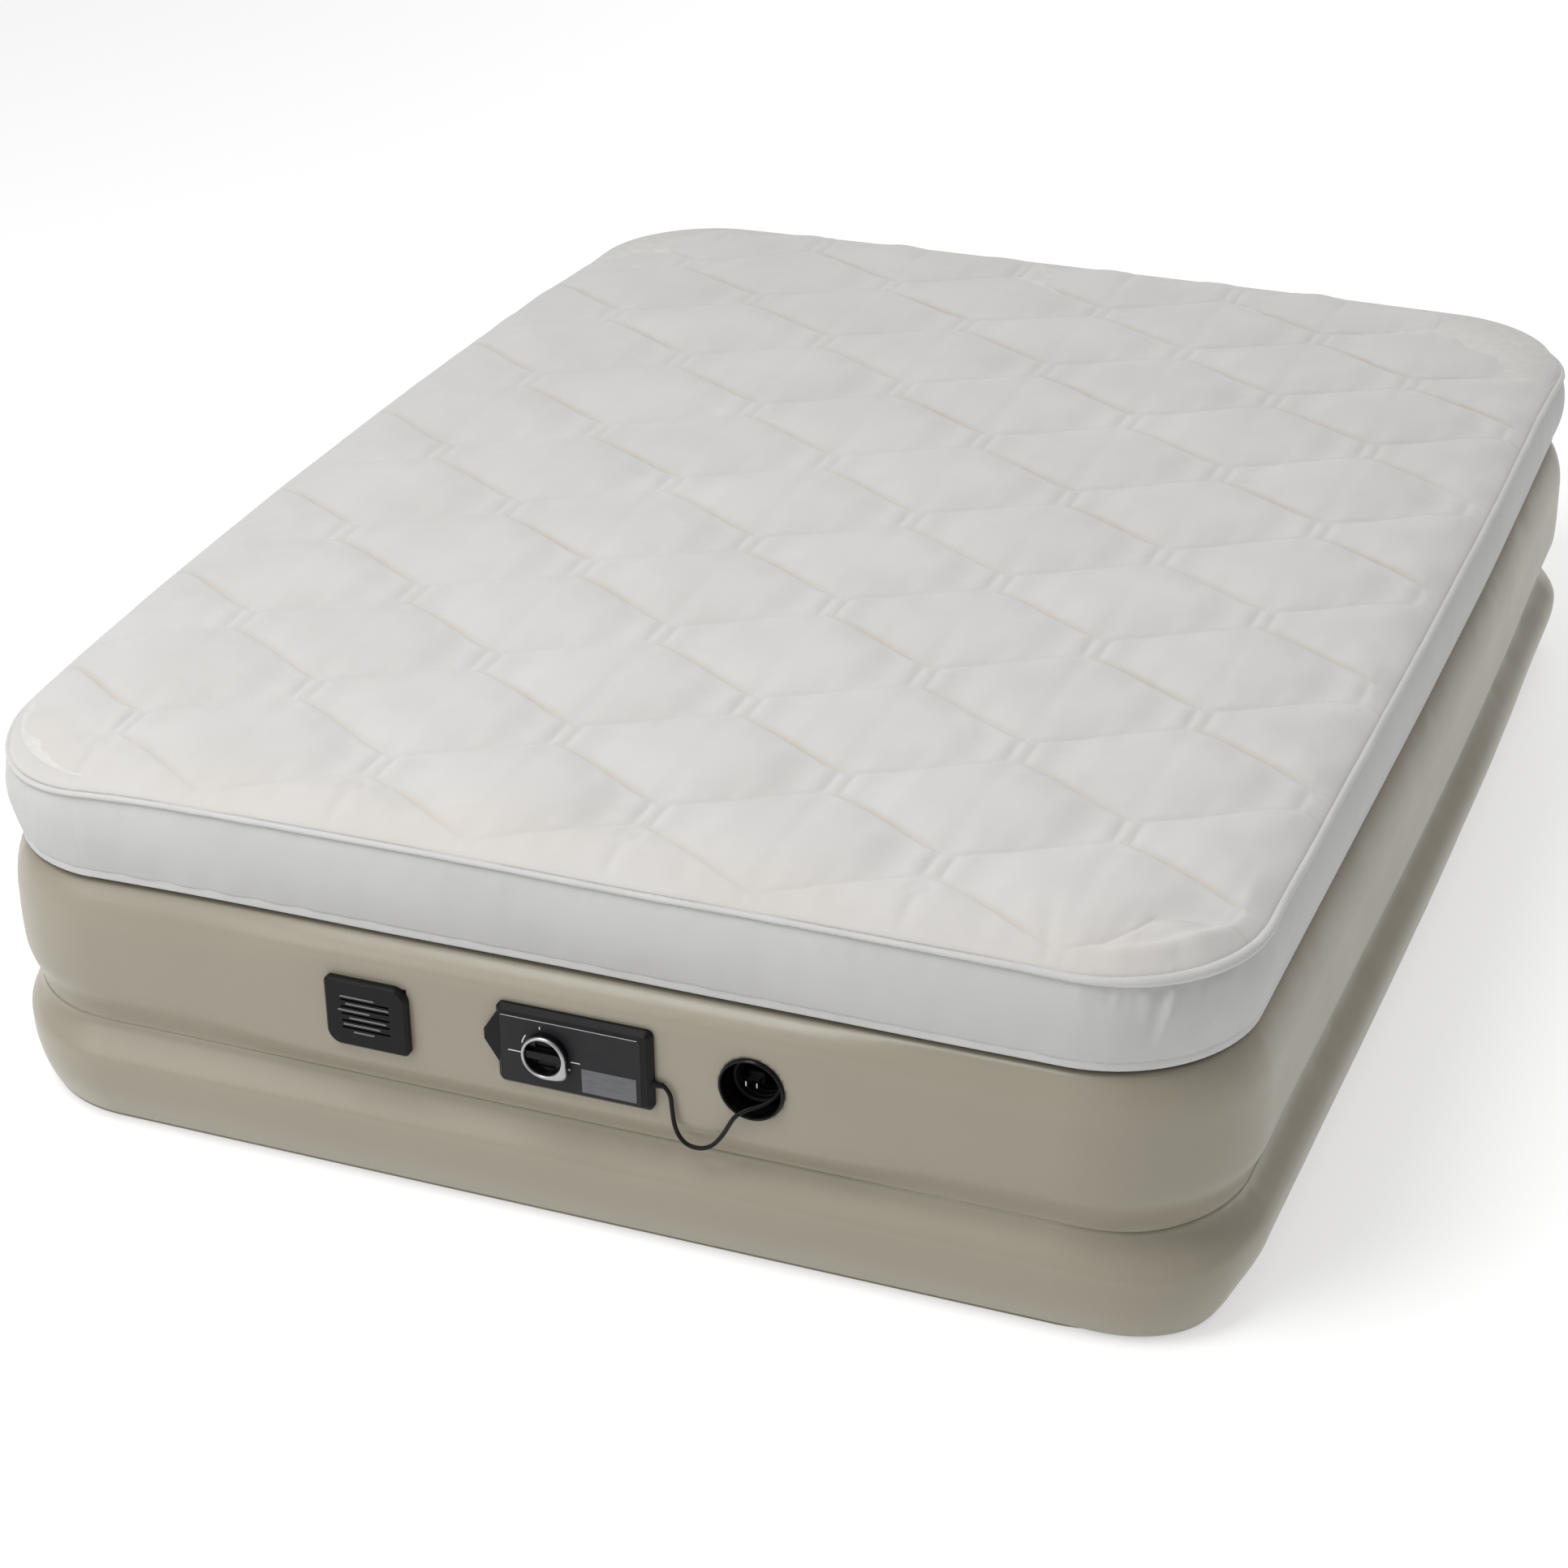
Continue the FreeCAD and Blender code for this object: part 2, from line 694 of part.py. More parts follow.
def make_dial():
    """The knob, its bright ring, its shaft and the drum valve that the shaft turns."""
    across, up = dim("DialX"), dim("DialZ")
    back = dim("PanelFront") + dim("DialGap")
    front = back + dim("DialDepth")
    rim = dim("DialRadius")
    bore = rim - dim("RingWall")
    disc = cylinder("knob_disc", FRONTWARD, rim, dim("DialDepth"), across, -back, up)
    recess = cylinder("knob_recess", FRONTWARD, bore, 10, across, -(back + 3), up)
    windows = []
    for side in (-1, 1):
        middle = up + side * 12
        windows.append(
            block(
                "knob_window_%d" % (side + 1), across - 12, across + 12,
                back - 1, back + 4, middle - 4, middle + 4,
            )
        )
    dished = cut("knob_dished", disc, recess, *windows)
    grip_front = back + dim("GripDepth")
    half_grip = dim("GripWidth") / 2
    grip = block(
        "knob_grip", across - bore - 1, across + bore + 1, back + 2, grip_front - 2.5,
        up - half_grip, up + half_grip,
    )
    shaft_seat = cylinder(
        "knob_shaft_seat", FRONTWARD, dim("DialShaftRadius"), 8, across, -(back - 1), up
    )
    knob = fuse("knob_whole", dished, grip)
    cut("dial_knob", knob, shaft_seat)
    tube("dial_ring", rim, bore, front, front + dim("RingDepth"), across, up)
    drum_back = dim("ValveBack") + 2
    shaft = cylinder(
        "dial_shaft", FRONTWARD, dim("DialShaftRadius"), back + 7 - drum_back,
        across, -drum_back, up,
    )
    shaft.Label = "dial_shaft"
    drum_length = dim("ValveLength") - 4
    drum = cylinder(
        "drum_solid", FRONTWARD, dim("ValveRadius") - 0.4, drum_length, across, -drum_back, up
    )
    bowl = cylinder(
        "drum_bowl", FRONTWARD, dim("ValveRadius") - 3, drum_length, across, -(drum_back + 4), up
    )
    port = block("drum_port", across - 14, across + 14, drum_back + 8, drum_back + 34, up, up + 40)
    hub = cylinder("drum_hub", FRONTWARD, 8, drum_length, across, -drum_back, up)
    seat = cylinder(
        "drum_seat", FRONTWARD, dim("DialShaftRadius"), drum_length + 2, across,
        -(drum_back - 1), up,
    )
    bowl_cut = cut("drum_cut", drum, bowl, port)
    cut("diverter_drum", fuse("drum_whole", bowl_cut, hub), seat)
    sleeve = tube(
        "valve_tube", dim("ValveRadius") + dim("ValveWall"), dim("ValveRadius"),
        dim("ValveBack"), dim("ValveBack") + dim("ValveLength"), across, up,
    )
    ports = block(
        "sleeve_ports", across - 13, across + 13, drum_back + 9, drum_back + 33, up - 60, up + 60
    )
    cut("valve_sleeve", sleeve, ports)


def make_blower():
    """The motor in its can, its shaft and bearings, the impeller and the scroll round it."""
    across, up = dim("MotorX"), dim("MotorZ")
    back = dim("MotorBack")
    front = back + dim("MotorLength")
    shaft_radius = dim("MotorShaftRadius")
    bearing, bearing_length = dim("BearingRadius"), dim("BearingLength")
    shell = cylinder("can_shell", FRONTWARD, dim("MotorRadius"), dim("MotorLength"), across, -back, up)
    inside = cylinder(
        "can_inside", FRONTWARD, dim("MotorRadius") - 1.5,
        dim("MotorLength") - bearing_length * 2, across, -(back + bearing_length), up,
    )
    seats = cylinder(
        "can_bearing_seats", FRONTWARD, bearing, dim("MotorLength") + 2, across, -(back - 1), up
    )
    cut("motor_can", shell, inside, seats)
    bearings = []
    for name, start in (("rear", back), ("front", front - bearing_length)):
        bearings.append(
            tube(
                name + "_bearing", bearing, shaft_radius + dim("RunningGap"), start,
                start + bearing_length, across, up,
            )
        )
    pair = doc.addObject("Part::Compound", "bearing_pair")
    pair.Links = bearings
    pair.Label = "motor_bearings"
    shaft_back = dim("ImpellerBack") - 3
    shaft = cylinder(
        "motor_shaft", FRONTWARD, shaft_radius, front + 4 - shaft_back, across, -shaft_back, up
    )
    shaft.Label = "motor_shaft"
    rotor_back = back + (dim("MotorLength") - dim("RotorLength")) / 2
    tube(
        "motor_rotor", dim("RotorRadius"), shaft_radius, rotor_back,
        rotor_back + dim("RotorLength"), across, up,
    )
    make_impeller(across, up)
    volute_back = dim("ImpellerBack") - 4
    volute_front = dim("ImpellerBack") + dim("ImpellerDepth") + 4
    scroll = tube(
        "scroll", dim("VoluteRadius"), dim("VoluteRadius") - 2, volute_back, volute_front, across, up
    )
    outlet = block(
        "scroll_outlet", across - 60, across - 30, dim("ImpellerBack"), volute_front - 4,
        up - 14, up + 14,
    )
    cut("volute", scroll, outlet)
    switch = block("dial_switch", -44, -30, 985, 1005, 195, 205)
    switch.Label = "dial_switch"


def make_impeller(across, up):
    body = new_body("impeller")
    back = dim("ImpellerBack")
    disc = sketch_on(body, "XZ_Plane", "impeller_disc", back)
    draw_circle(disc, 0, 0, dim("ImpellerRadius"))
    draw_circle(disc, 0, 0, dim("MotorShaftRadius"))
    pad_up(body, disc, "impeller_plate", 2)
    hub = sketch_on(body, "XZ_Plane", "impeller_hub_outline", back + 2)
    draw_circle(hub, 0, 0, 7)
    draw_circle(hub, 0, 0, dim("MotorShaftRadius"))
    pad_up(body, hub, "impeller_hub", dim("ImpellerDepth") - 2)
    blade = sketch_on(body, "XZ_Plane", "blade_outline", back + 1)
    draw_rectangle(blade, 14, dim("ImpellerRadius") - 1, -0.8, 0.8)
    blade_pad = pad_up(body, blade, "blade", dim("ImpellerDepth") - 1)
    pattern = body.newObject("PartDesign::PolarPattern", "blades")
    pattern.Originals = [blade_pad]
    axes = {feature.Role: feature for feature in body.Origin.OriginFeatures}
    pattern.Axis = (axes["Y_Axis"], [""])
    pattern.Angle = 360
    bind(pattern, "Occurrences", dim("BladeCount"))
    body.Tip = pattern
    bind(body, "Placement.Base.x", across)
    bind(body, "Placement.Base.z", up)
    doc.recompute()


def make_outlet_flap():
    """The flap that shuts the outlet from inside the bed, its pin and its spring."""
    across, up = dim("DialX"), dim("PanelCentreZ")
    wall = dim("PanelBack") - dim("HousingDepth")
    pin_z = dim("FlapPinHeight")
    pin_depth = wall - 5
    disc = cylinder(
        "flap_disc", FRONTWARD, dim("FlapRadius"), dim("FlapThickness"), across,
        -(wall - dim("FlapThickness") - dim("PadGap")), up,
    )
    knuckle = cylinder("flap_knuckle", SIDEWAYS, 3.2, 24, across - 12, -pin_depth, pin_z)
    web = block(
        "flap_web", across - 12, across + 12, wall - 2.3, wall - 0.3, up + 10, pin_z + 1
    )
    bridge = block("flap_bridge", across - 12, across + 12, pin_depth, wall - 0.3, pin_z - 3, pin_z)
    pin_hole = cylinder(
        "flap_pin_hole", SIDEWAYS, dim("FlapPinRadius") + dim("RunningGap"), 30, across - 15,
        -pin_depth, pin_z,
    )
    cut("outlet_flap", fuse("flap_whole", disc, web, bridge, knuckle), pin_hole)
    pin = cylinder("flap_pin", SIDEWAYS, dim("FlapPinRadius"), 44, across - 22, -pin_depth, pin_z)
    pin.Label = "flap_pin"
    ears = []
    for side in (-1, 1):
        middle = across + side * 20
        ear = block(
            "flap_ear_%d" % (side + 1), middle - 1.5, middle + 1.5, wall - 9, wall,
            pin_z - 4, pin_z + 4,
        )
        ears.append(ear)
    ear_pair = fuse("ear_pair", *ears)
    ear_hole = cylinder(
        "flap_ear_hole", SIDEWAYS, dim("FlapPinRadius"), 50, across - 25, -pin_depth, pin_z
    )
    cut("flap_ears", ear_pair, ear_hole)
    spring = cylinder("spring_outer", SIDEWAYS, 3, 5, across + 12.5, -pin_depth, pin_z)
    spring_bore = cylinder("spring_bore", SIDEWAYS, 2, 5, across + 12.5, -pin_depth, pin_z)
    cut("flap_spring", spring, spring_bore)


# -------------------------------------------------- the pressure-keeping pump


def aux_sides(inset):
    reach_x = dim("AuxWidth") / 2 - inset
    reach_z = dim("AuxHeight") / 2 - inset
    return (
        dim("AuxX") - reach_x, dim("AuxX") + reach_x, dim("AuxZ") - reach_z, dim("AuxZ") + reach_z,
    )


def make_aux_casing():
    body = new_body("aux_cover")
    outline = sketch_on(body, "XZ_Plane", "aux_outline", dim("PanelBack"))
    draw_rectangle(outline, *aux_sides(0))
    plate = pad_up(body, outline, "aux_plate", dim("AuxCoverFront") - dim("PanelBack"))
    centre = V(dim("AuxX").number, 0, dim("AuxZ").number)

    def rising(point):
        return (point.x - centre.x) * (point.z - centre.z) > 0

    wide = soften(
        body, plate, "Fillet", "aux_wide_corners", edges_along(plate, V(0, 1, 0), rising), 18
    )
    tight = soften(
        body, wide, "Fillet", "aux_tight_corners",
        edges_along(wide, V(0, 1, 0), lambda point: not rising(point)), 7,
    )
    front_edges = edges_at_depth(tight, dim("AuxCoverFront").number)
    soften(body, tight, "Chamfer", "aux_bevel", front_edges, 3)
    slots = sketch_on(body, "XZ_Plane", "aux_slots", dim("AuxCoverFront") + 1)
    half_count = (dim("AuxSlots").number - 1) / 2
    for step in range(int(dim("AuxSlots").number)):
        middle = dim("AuxZ") + (step - half_count) * 9
        draw_rectangle(slots, dim("AuxX") - 30, dim("AuxX") + 30, middle - 1.3, middle + 1.3)
    pocket(body, slots, "aux_slot_cut", 12)
    back = dim("PanelBack") - dim("AuxDepth")
    inset = dim("FlangeOverlap")
    shell = block(
        "aux_shell", *aux_sides(inset)[:2], back, dim("PanelBack"), *aux_sides(inset)[2:]
    )
    inner = inset + dim("PanelWall")
    hollow = block(
        "aux_hollow", *aux_sides(inner)[:2], back + dim("PanelWall"), dim("PanelBack") + 2,
        *aux_sides(inner)[2:],
    )
    cut("aux_housing", shell, hollow)


def make_aux_works():
    """The magnet-driven arm, its diaphragm and the sensor board behind the square cover."""
    across, up = dim("AuxX"), dim("AuxZ")
    back = dim("PanelBack") - dim("AuxDepth") + dim("PanelWall")
    core = block("core_block", across + 20, across + 42, back, back + 24, up - 12, up + 12)
    core_slot_low = block("core_slot_low", across + 19, across + 43, back + 8, back + 25, up - 8, up - 4)
    core_slot_high = block("core_slot_high", across + 19, across + 43, back + 8, back + 25, up + 4, up + 8)
    cut("aux_core", core, core_slot_low, core_slot_high)
    winding = block("winding", across + 17, across + 45, back + 9, back + 20, up - 7.6, up + 7.6)
    winding_hole = block("winding_hole", across + 20, across + 42, back + 8, back + 21, up - 4, up + 4)
    cut("aux_winding", winding, winding_hole)
    arm_front = back + 36
    arm = block("arm_bar", across - 40, across + 34, arm_front - 3, arm_front, up - 6, up + 6)
    pivot_boss = cylinder(
        "arm_boss", UPWARD, 4, 12, across - 40, -(arm_front - 1.5), up - 6
    )
    pivot_hole = cylinder(
        "arm_hole", UPWARD, dim("RunningGap") + 1.5, 14, across - 40, -(arm_front - 1.5), up - 7
    )
    cut("aux_arm", fuse("arm_whole", arm, pivot_boss), pivot_hole)
    pivot_length = dim("AuxHeight") - (dim("FlangeOverlap") + dim("PanelWall")) * 2
    pivot = cylinder(
        "aux_pivot_pin", UPWARD, 1.5, pivot_length, across - 40, -(arm_front - 1.5),
        up - pivot_length / 2,
    )
    pivot.Label = "aux_pivot"
    magnet = block("magnet_block", across + 22, across + 34, arm_front - 8, arm_front - 3, up - 6, up + 6)
    magnet.Label = "aux_magnet"
    valve = cylinder("valve_block", FRONTWARD, 13, 18, across - 12, -back, up)
    valve.Label = "aux_valve_block"
    cup_back = back + 18
    cup_outer = cone("diaphragm_outer", FRONTWARD, 11, 6, 15, across - 12, -cup_back, up)
    cup_inner = cone("diaphragm_inner", FRONTWARD, 9.5, 4.5, 13, across - 12, -cup_back, up)
    cut("aux_diaphragm", cup_outer, cup_inner)
    board = block("board", across - 44, across + 44, back + 44, back + 45.6, up - 37, up - 12)
    board.Label = "pressure_board"


# ------------------------------------------------------- the cord compartment


def make_cord_cup():
    across, up = dim("CupX"), dim("CupZ")
    outer = dim("CupRadius") + dim("CupWall")
    floor_depth = dim("CupFloor")
    shell = cylinder(
        "cup_shell", FRONTWARD, outer, dim("CupMouth") - floor_depth + dim("CupWall"), across,
        -(floor_depth - dim("CupWall")), up,
    )
    hollow = cylinder(
        "cup_hollow", FRONTWARD, dim("CupRadius"), dim("CupMouth") - floor_depth + 1, across,
        -floor_depth, up,
    )
    cut("cord_cup", shell, hollow)
    tube(
        "cup_rim", dim("RimRadius"), dim("CupRadius"), dim("CupMouth"), dim("RimFront"),
        across, up,
    )


# The lead hangs from the gland in a loop and turns up into the cup, where it joins the
# coil; the tail leaves the coil's last turn and bends round into the plug.
LEAD_ROUTE = [
    (144.5, -1030.2, 220.6), (152.8, -1030.5, 214), (154, -1031, 194), (156.8, -1031, 168),
    (166.6, -1030.5, 151.8), (182.4, -1030, 147.5), (199.8, -1031, 155), (213.6, -1033, 174),
    (223.5, -1036.5, 193), (230.5, -1038.5, 206), (241, -1033.5, 213.5), (256, -1023, 216),
    (269, -1013, 223), (274, -1007.5, 236), (272.5, -1007.5, 247),
]
TAIL_ROUTE = [
    (274, -969.5, 230), (274.5, -966, 244), (270.5, -957, 257), (261, -945.5, 264),
    (248.4, -939, 263.5), (239, -938, 253.8), (239, -938, 240.4), (239, -947.4, 231),
    (239, -961, 231),
]


def arc_path(points):
    """Straight runs joined by tangent arcs, each arc as large as its two runs allow."""
    points = [V(*point) for point in points]
    edges = []
    radii = []
    start = points[0]
    for before, here, after in zip(points, points[1:], points[2:]):
        back_run, on_run = before - here, after - here
        half_turn = (math.pi - back_run.getAngle(on_run)) / 2
        reach = 0.45 * min(back_run.Length, on_run.Length)
        radius = reach / math.tan(half_turn)
        radii.append(radius)
        back_run.normalize()
        on_run.normalize()
        enter, leave = here + back_run * reach, here + on_run * reach
        inward = back_run + on_run
        inward.normalize()
        middle = here + inward * (radius / math.cos(half_turn) - radius)
        edges.append(Part.LineSegment(start, enter).toShape())
        edges.append(Part.Arc(enter, middle, leave).toShape())
        start = leave
    edges.append(Part.LineSegment(start, points[-1]).toShape())
    return Part.Wire(edges), radii


def make_cord_tube(label, route):
    path, radii = arc_path(route)
    radius = dim("CordRadius").number
    heading = V(*route[1]) - V(*route[0])
    section = Part.Wire(Part.makeCircle(radius, V(*route[0]), heading))
    shape = path.makePipeShell([section], True, True)
    expected = math.pi * radius * radius * path.Length
    print(
        "%s: length %.1f, volume ratio %.4f, radii %s"
        % (label, path.Length, shape.Volume / expected, " ".join("%.0f" % r for r in radii))
    )
    thing = doc.addObject("Part::Feature", label)
    thing.Shape = shape
    thing.Label = label
    thing.Placement = FreeCAD.Placement()


def make_cord():
    make_cord_tube("mains_cord", LEAD_ROUTE)
    make_cord_tube("cord_tail", TAIL_ROUTE)
    coil_radius, cord_radius = dim("CordCoilRadius"), dim("CordRadius")
    tube(
        "cord_coil", coil_radius + cord_radius, coil_radius - cord_radius,
        dim("CordCoilBack"), dim("CordCoilFront"), dim("CupX"), dim("CupZ"),
    )
    plug = block("plug_block", 229, 249, 961, 994, 223, 239)
    plug_edges = doc.addObject("Part::Fillet", "plug_fillet")
    plug_edges.Base = plug
    doc.recompute()
    plug_edges.Edges = [(index + 1, 3.0, 3.0) for index in range(len(plug.Shape.Edges))]
    plug_edges.Label = "plug_body"
    blades = []
    for side in (-1, 1):
        middle = 239 + side * 6.35
        blades.append(
            block("blade_%d" % (side + 1), middle - 0.75, middle + 0.75, 994, 1009.5, 228, 234)
        )
    pair = doc.addObject("Part::Compound", "blade_pair")
    pair.Links = blades
    pair.Label = "plug_blades"


# ----------------------------------------------------------------- build and save

NODES = [
    "bottom_sheet", "lower_tier_wall", "lower_waist_sheet", "middle_tier_wall",
    "upper_waist_sheet", "top_tier_wall", "top_sheet",
    "air_coil_row_1", "air_coil_row_2", "air_coil_row_3", "air_coil_row_4",
    "air_coil_row_5", "air_coil_row_6", "air_coil_row_7",
    "pad_top", "pad_piping", "pad_skirt", "pad_hem",
    "pump_panel", "pump_housing", "intake_grille", "label_plate", "cord_gland",
    "dial_knob", "dial_ring", "dial_shaft", "diverter_drum", "valve_sleeve",
    "motor_can", "motor_bearings", "motor_shaft", "motor_rotor", "impeller", "volute",
    "dial_switch", "outlet_flap", "flap_pin", "flap_ears", "flap_spring",
    "aux_cover", "aux_housing", "aux_core", "aux_winding", "aux_arm", "aux_pivot",
    "aux_magnet", "aux_valve_block", "aux_diaphragm", "pressure_board",
    "cord_cup", "cup_rim", "mains_cord", "cord_tail", "cord_coil", "plug_body", "plug_blades",
]


def save_parts():
    doc.recompute()
    for thing in doc.Objects:
        if "Invalid" in thing.State or "Error" in thing.State:
            raise RuntimeError("%s failed: %s" % (thing.Label, thing.State))
    by_label = {thing.Label: thing for thing in doc.Objects}
    os.makedirs("parts", exist_ok=True)
    for label in NODES:
        shape = by_label[label].Shape
        if shape.isNull() or not shape.isValid() or not shape.Solids:
            raise RuntimeError(label + " has no valid solid")
        shape.exportStep(os.path.join("parts", label + ".step"))
    print("%d parts written" % len(NODES))


make_skins()
make_air_coils()
make_pad()
make_pump_panel()
make_pump_housing()
make_panel_details()
make_dial()
make_blower()
make_outlet_flap()
make_aux_casing()
make_aux_works()
make_cord_cup()
make_cord()
save_parts()
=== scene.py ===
"""Raised air bed with a quilted fitted pad: the visual model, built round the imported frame, in metres.

X runs across the bed, Y from the foot end (controls, -Y) to the head end, Z up from the floor.
"""
import bisect
import json
import math

import bpy
from mathutils import Matrix, Vector, noise


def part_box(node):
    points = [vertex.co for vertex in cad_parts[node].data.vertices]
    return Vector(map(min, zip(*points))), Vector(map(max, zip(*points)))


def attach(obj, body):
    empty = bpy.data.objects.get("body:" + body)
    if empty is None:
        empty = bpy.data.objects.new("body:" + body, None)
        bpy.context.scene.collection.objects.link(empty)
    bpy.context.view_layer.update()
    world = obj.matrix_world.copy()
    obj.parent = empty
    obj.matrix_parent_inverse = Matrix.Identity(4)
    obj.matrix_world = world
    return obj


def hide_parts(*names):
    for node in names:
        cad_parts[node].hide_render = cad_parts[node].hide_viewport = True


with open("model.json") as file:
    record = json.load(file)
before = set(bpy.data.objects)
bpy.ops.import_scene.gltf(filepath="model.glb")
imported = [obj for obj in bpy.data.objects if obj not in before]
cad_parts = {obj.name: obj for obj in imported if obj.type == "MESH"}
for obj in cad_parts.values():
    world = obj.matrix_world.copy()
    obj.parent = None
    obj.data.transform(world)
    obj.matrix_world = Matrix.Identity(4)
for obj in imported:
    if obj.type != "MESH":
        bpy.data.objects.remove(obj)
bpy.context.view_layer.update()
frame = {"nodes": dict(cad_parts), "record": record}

# ------------------------------------------------------------------ driving sizes
PAD_INSET = 0.009
CORNER_RADIUS = 0.18
HALF_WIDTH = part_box("pad_top")[1][0] + PAD_INSET
HALF_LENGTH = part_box("pad_top")[1][1] + PAD_INSET
LOWER_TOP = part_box("lower_tier_wall")[1][2]
MIDDLE_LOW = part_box("middle_tier_wall")[0][2]
MIDDLE_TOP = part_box("middle_tier_wall")[1][2]
TOP_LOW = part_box("top_tier_wall")[0][2]
TOP_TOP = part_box("top_tier_wall")[1][2]
LOWER_PINCH = -0.012
UPPER_PINCH = -0.024
SEAM_HEIGHT = 0.443
PANEL_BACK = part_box("pump_panel")[1][1]
PANEL_FRONT = -1.036
WALL_BEHIND_PANEL = -PANEL_BACK - HALF_LENGTH - 0.0006
SKIN = 0.0012
FOOT_CREASE = -0.0115
MIDDLE_PEAK = 0.0074
LOWER_PEAK = 0.0150
LOWER_WAIST_INSET = 0.0136
UPPER_WAIST_INSET = 0.0268
CUP_HOLE_RADIUS = 0.0363
FOOT_END = -0.9
STITCH_SLOPE = 0.88
CLOTH_FRAMES = 20


# ------------------------------------------------------------------ small maths
def mix(low, high, share):
    return low + (high - low) * share


def smooth(share):
    share = min(1.0, max(0.0, share))
    return share * share * (3 - 2 * share)


def hump(distance, width):
    return math.exp(-((distance / width) ** 2))


def rough(x, y, z=0.0):
    return noise.noise(Vector((x, y, z)))


def settled(x, y):
    """The soft bed's plan as it stands: the head end, its corners and the left side draw in a little."""
    head = smooth((y - 0.25 * HALF_LENGTH) / (0.75 * HALF_LENGTH))
    head_corner = head * smooth((abs(x) - 0.35 * HALF_WIDTH) / (0.65 * HALF_WIDTH))
    foot_left = smooth((-x - 0.25 * HALF_WIDTH) / (0.75 * HALF_WIDTH)) * smooth((-y - 0.3) / 0.6)
    bow = (0.004 if x > 0 else 0.013) * math.cos(math.pi * y / 2 / HALF_LENGTH) ** 2
    drawn_x = x * (1 + bow / HALF_WIDTH - 0.003 * head - 0.006 * head_corner) + 0.010 * foot_left
    return drawn_x, y - 0.014 * head - 0.011 * head_corner


# ------------------------------------------------------------------ material tools
class Finish:
    """A node material round one Principled shader, in the object's own coordinates (metres)."""

    def __init__(self, name, roughness=0.5, **values):
        self.material = bpy.data.materials.new(name)
        self.material.use_nodes = True
        self.nodes = self.material.node_tree.nodes
        self.links = self.material.node_tree.links
        self.shader = self.nodes["Principled BSDF"]
        self.shader.inputs["Roughness"].default_value = roughness
        for socket, value in values.items():
            self.shader.inputs[socket.replace("_", " ")].default_value = value
        self.place = self.nodes.new("ShaderNodeTexCoord").outputs["Object"]

    def stretched(self, scale):
        mapping = self.nodes.new("ShaderNodeMapping")
        mapping.inputs["Scale"].default_value = scale
        self.links.new(self.place, mapping.inputs["Vector"])
        return mapping.outputs["Vector"]

    def noise(self, scale, detail=3.0, place=None, distortion=0.0):
        node = self.nodes.new("ShaderNodeTexNoise")
        node.inputs["Scale"].default_value = scale
        node.inputs["Detail"].default_value = detail
        node.inputs["Distortion"].default_value = distortion
        self.links.new(place or self.place, node.inputs["Vector"])
        return node.outputs["Fac"]

    def cells(self, scale, place=None):
        node = self.nodes.new("ShaderNodeTexVoronoi")
        node.inputs["Scale"].default_value = scale
        self.links.new(place or self.place, node.inputs["Vector"])
        return node.outputs["Distance"]

    def wave(self, scale, direction, distortion=0.0):
        node = self.nodes.new("ShaderNodeTexWave")
        node.bands_direction = direction
        node.inputs["Scale"].default_value = scale
        node.inputs["Distortion"].default_value = distortion
        self.links.new(self.place, node.inputs["Vector"])
        return node.outputs["Fac"]

    def maths(self, operation, first, second):
        node = self.nodes.new("ShaderNodeMath")
        node.operation = operation
        for socket, value in zip(node.inputs, (first, second)):
            if isinstance(value, float):
                socket.default_value = value
            else:
                self.links.new(value, socket)
        return node.outputs["Value"]

    def ramp(self, factor, stops):
        node = self.nodes.new("ShaderNodeValToRGB")
        ends = node.color_ramp.elements
        while len(ends) < len(stops):
            ends.new(0.5)
        for end, (place, colour) in zip(ends, stops):
            end.position = place
            end.color = (*colour, 1.0)
        self.links.new(factor, node.inputs["Fac"])
        return node.outputs["Color"]

    def blend(self, factor, first, second):
        node = self.nodes.new("ShaderNodeMix")
        node.data_type = "RGBA"
        self.links.new(factor, node.inputs["Factor"])
        for socket, value in zip(node.inputs[6:8], (first, second)):
            if isinstance(value, tuple):
                socket.default_value = (*value, 1.0)
            else:
                self.links.new(value, socket)
        return node.outputs[2]

    def painted(self, name):
        node = self.nodes.new("ShaderNodeAttribute")
        node.attribute_name = name
        return node.outputs["Fac"]

    def colour(self, value):
        self.links.new(value, self.shader.inputs["Base Color"])

    def vary_roughness(self, factor, low, high):
        node = self.nodes.new("ShaderNodeMapRange")
        node.inputs["To Min"].default_value = low
        node.inputs["To Max"].default_value = high
        self.links.new(factor, node.inputs["Value"])
        self.links.new(node.outputs["Result"], self.shader.inputs["Roughness"])

    def bumps(self, *layers):
        """Stack bump layers, each (height, strength, depth in metres)."""
        normal = None
        for height, strength, depth in layers:
            node = self.nodes.new("ShaderNodeBump")
            node.inputs["Strength"].default_value = strength
            node.inputs["Distance"].default_value = depth
            self.links.new(height, node.inputs["Height"])
            if normal:
                self.links.new(normal, node.inputs["Normal"])
            normal = node.outputs["Normal"]
        self.links.new(normal, self.shader.inputs["Normal"])


def shades(colour, spread):
    return [(0.25, tuple(c * (1 - spread) for c in colour)), (0.75, tuple(c * (1 + spread) for c in colour))]


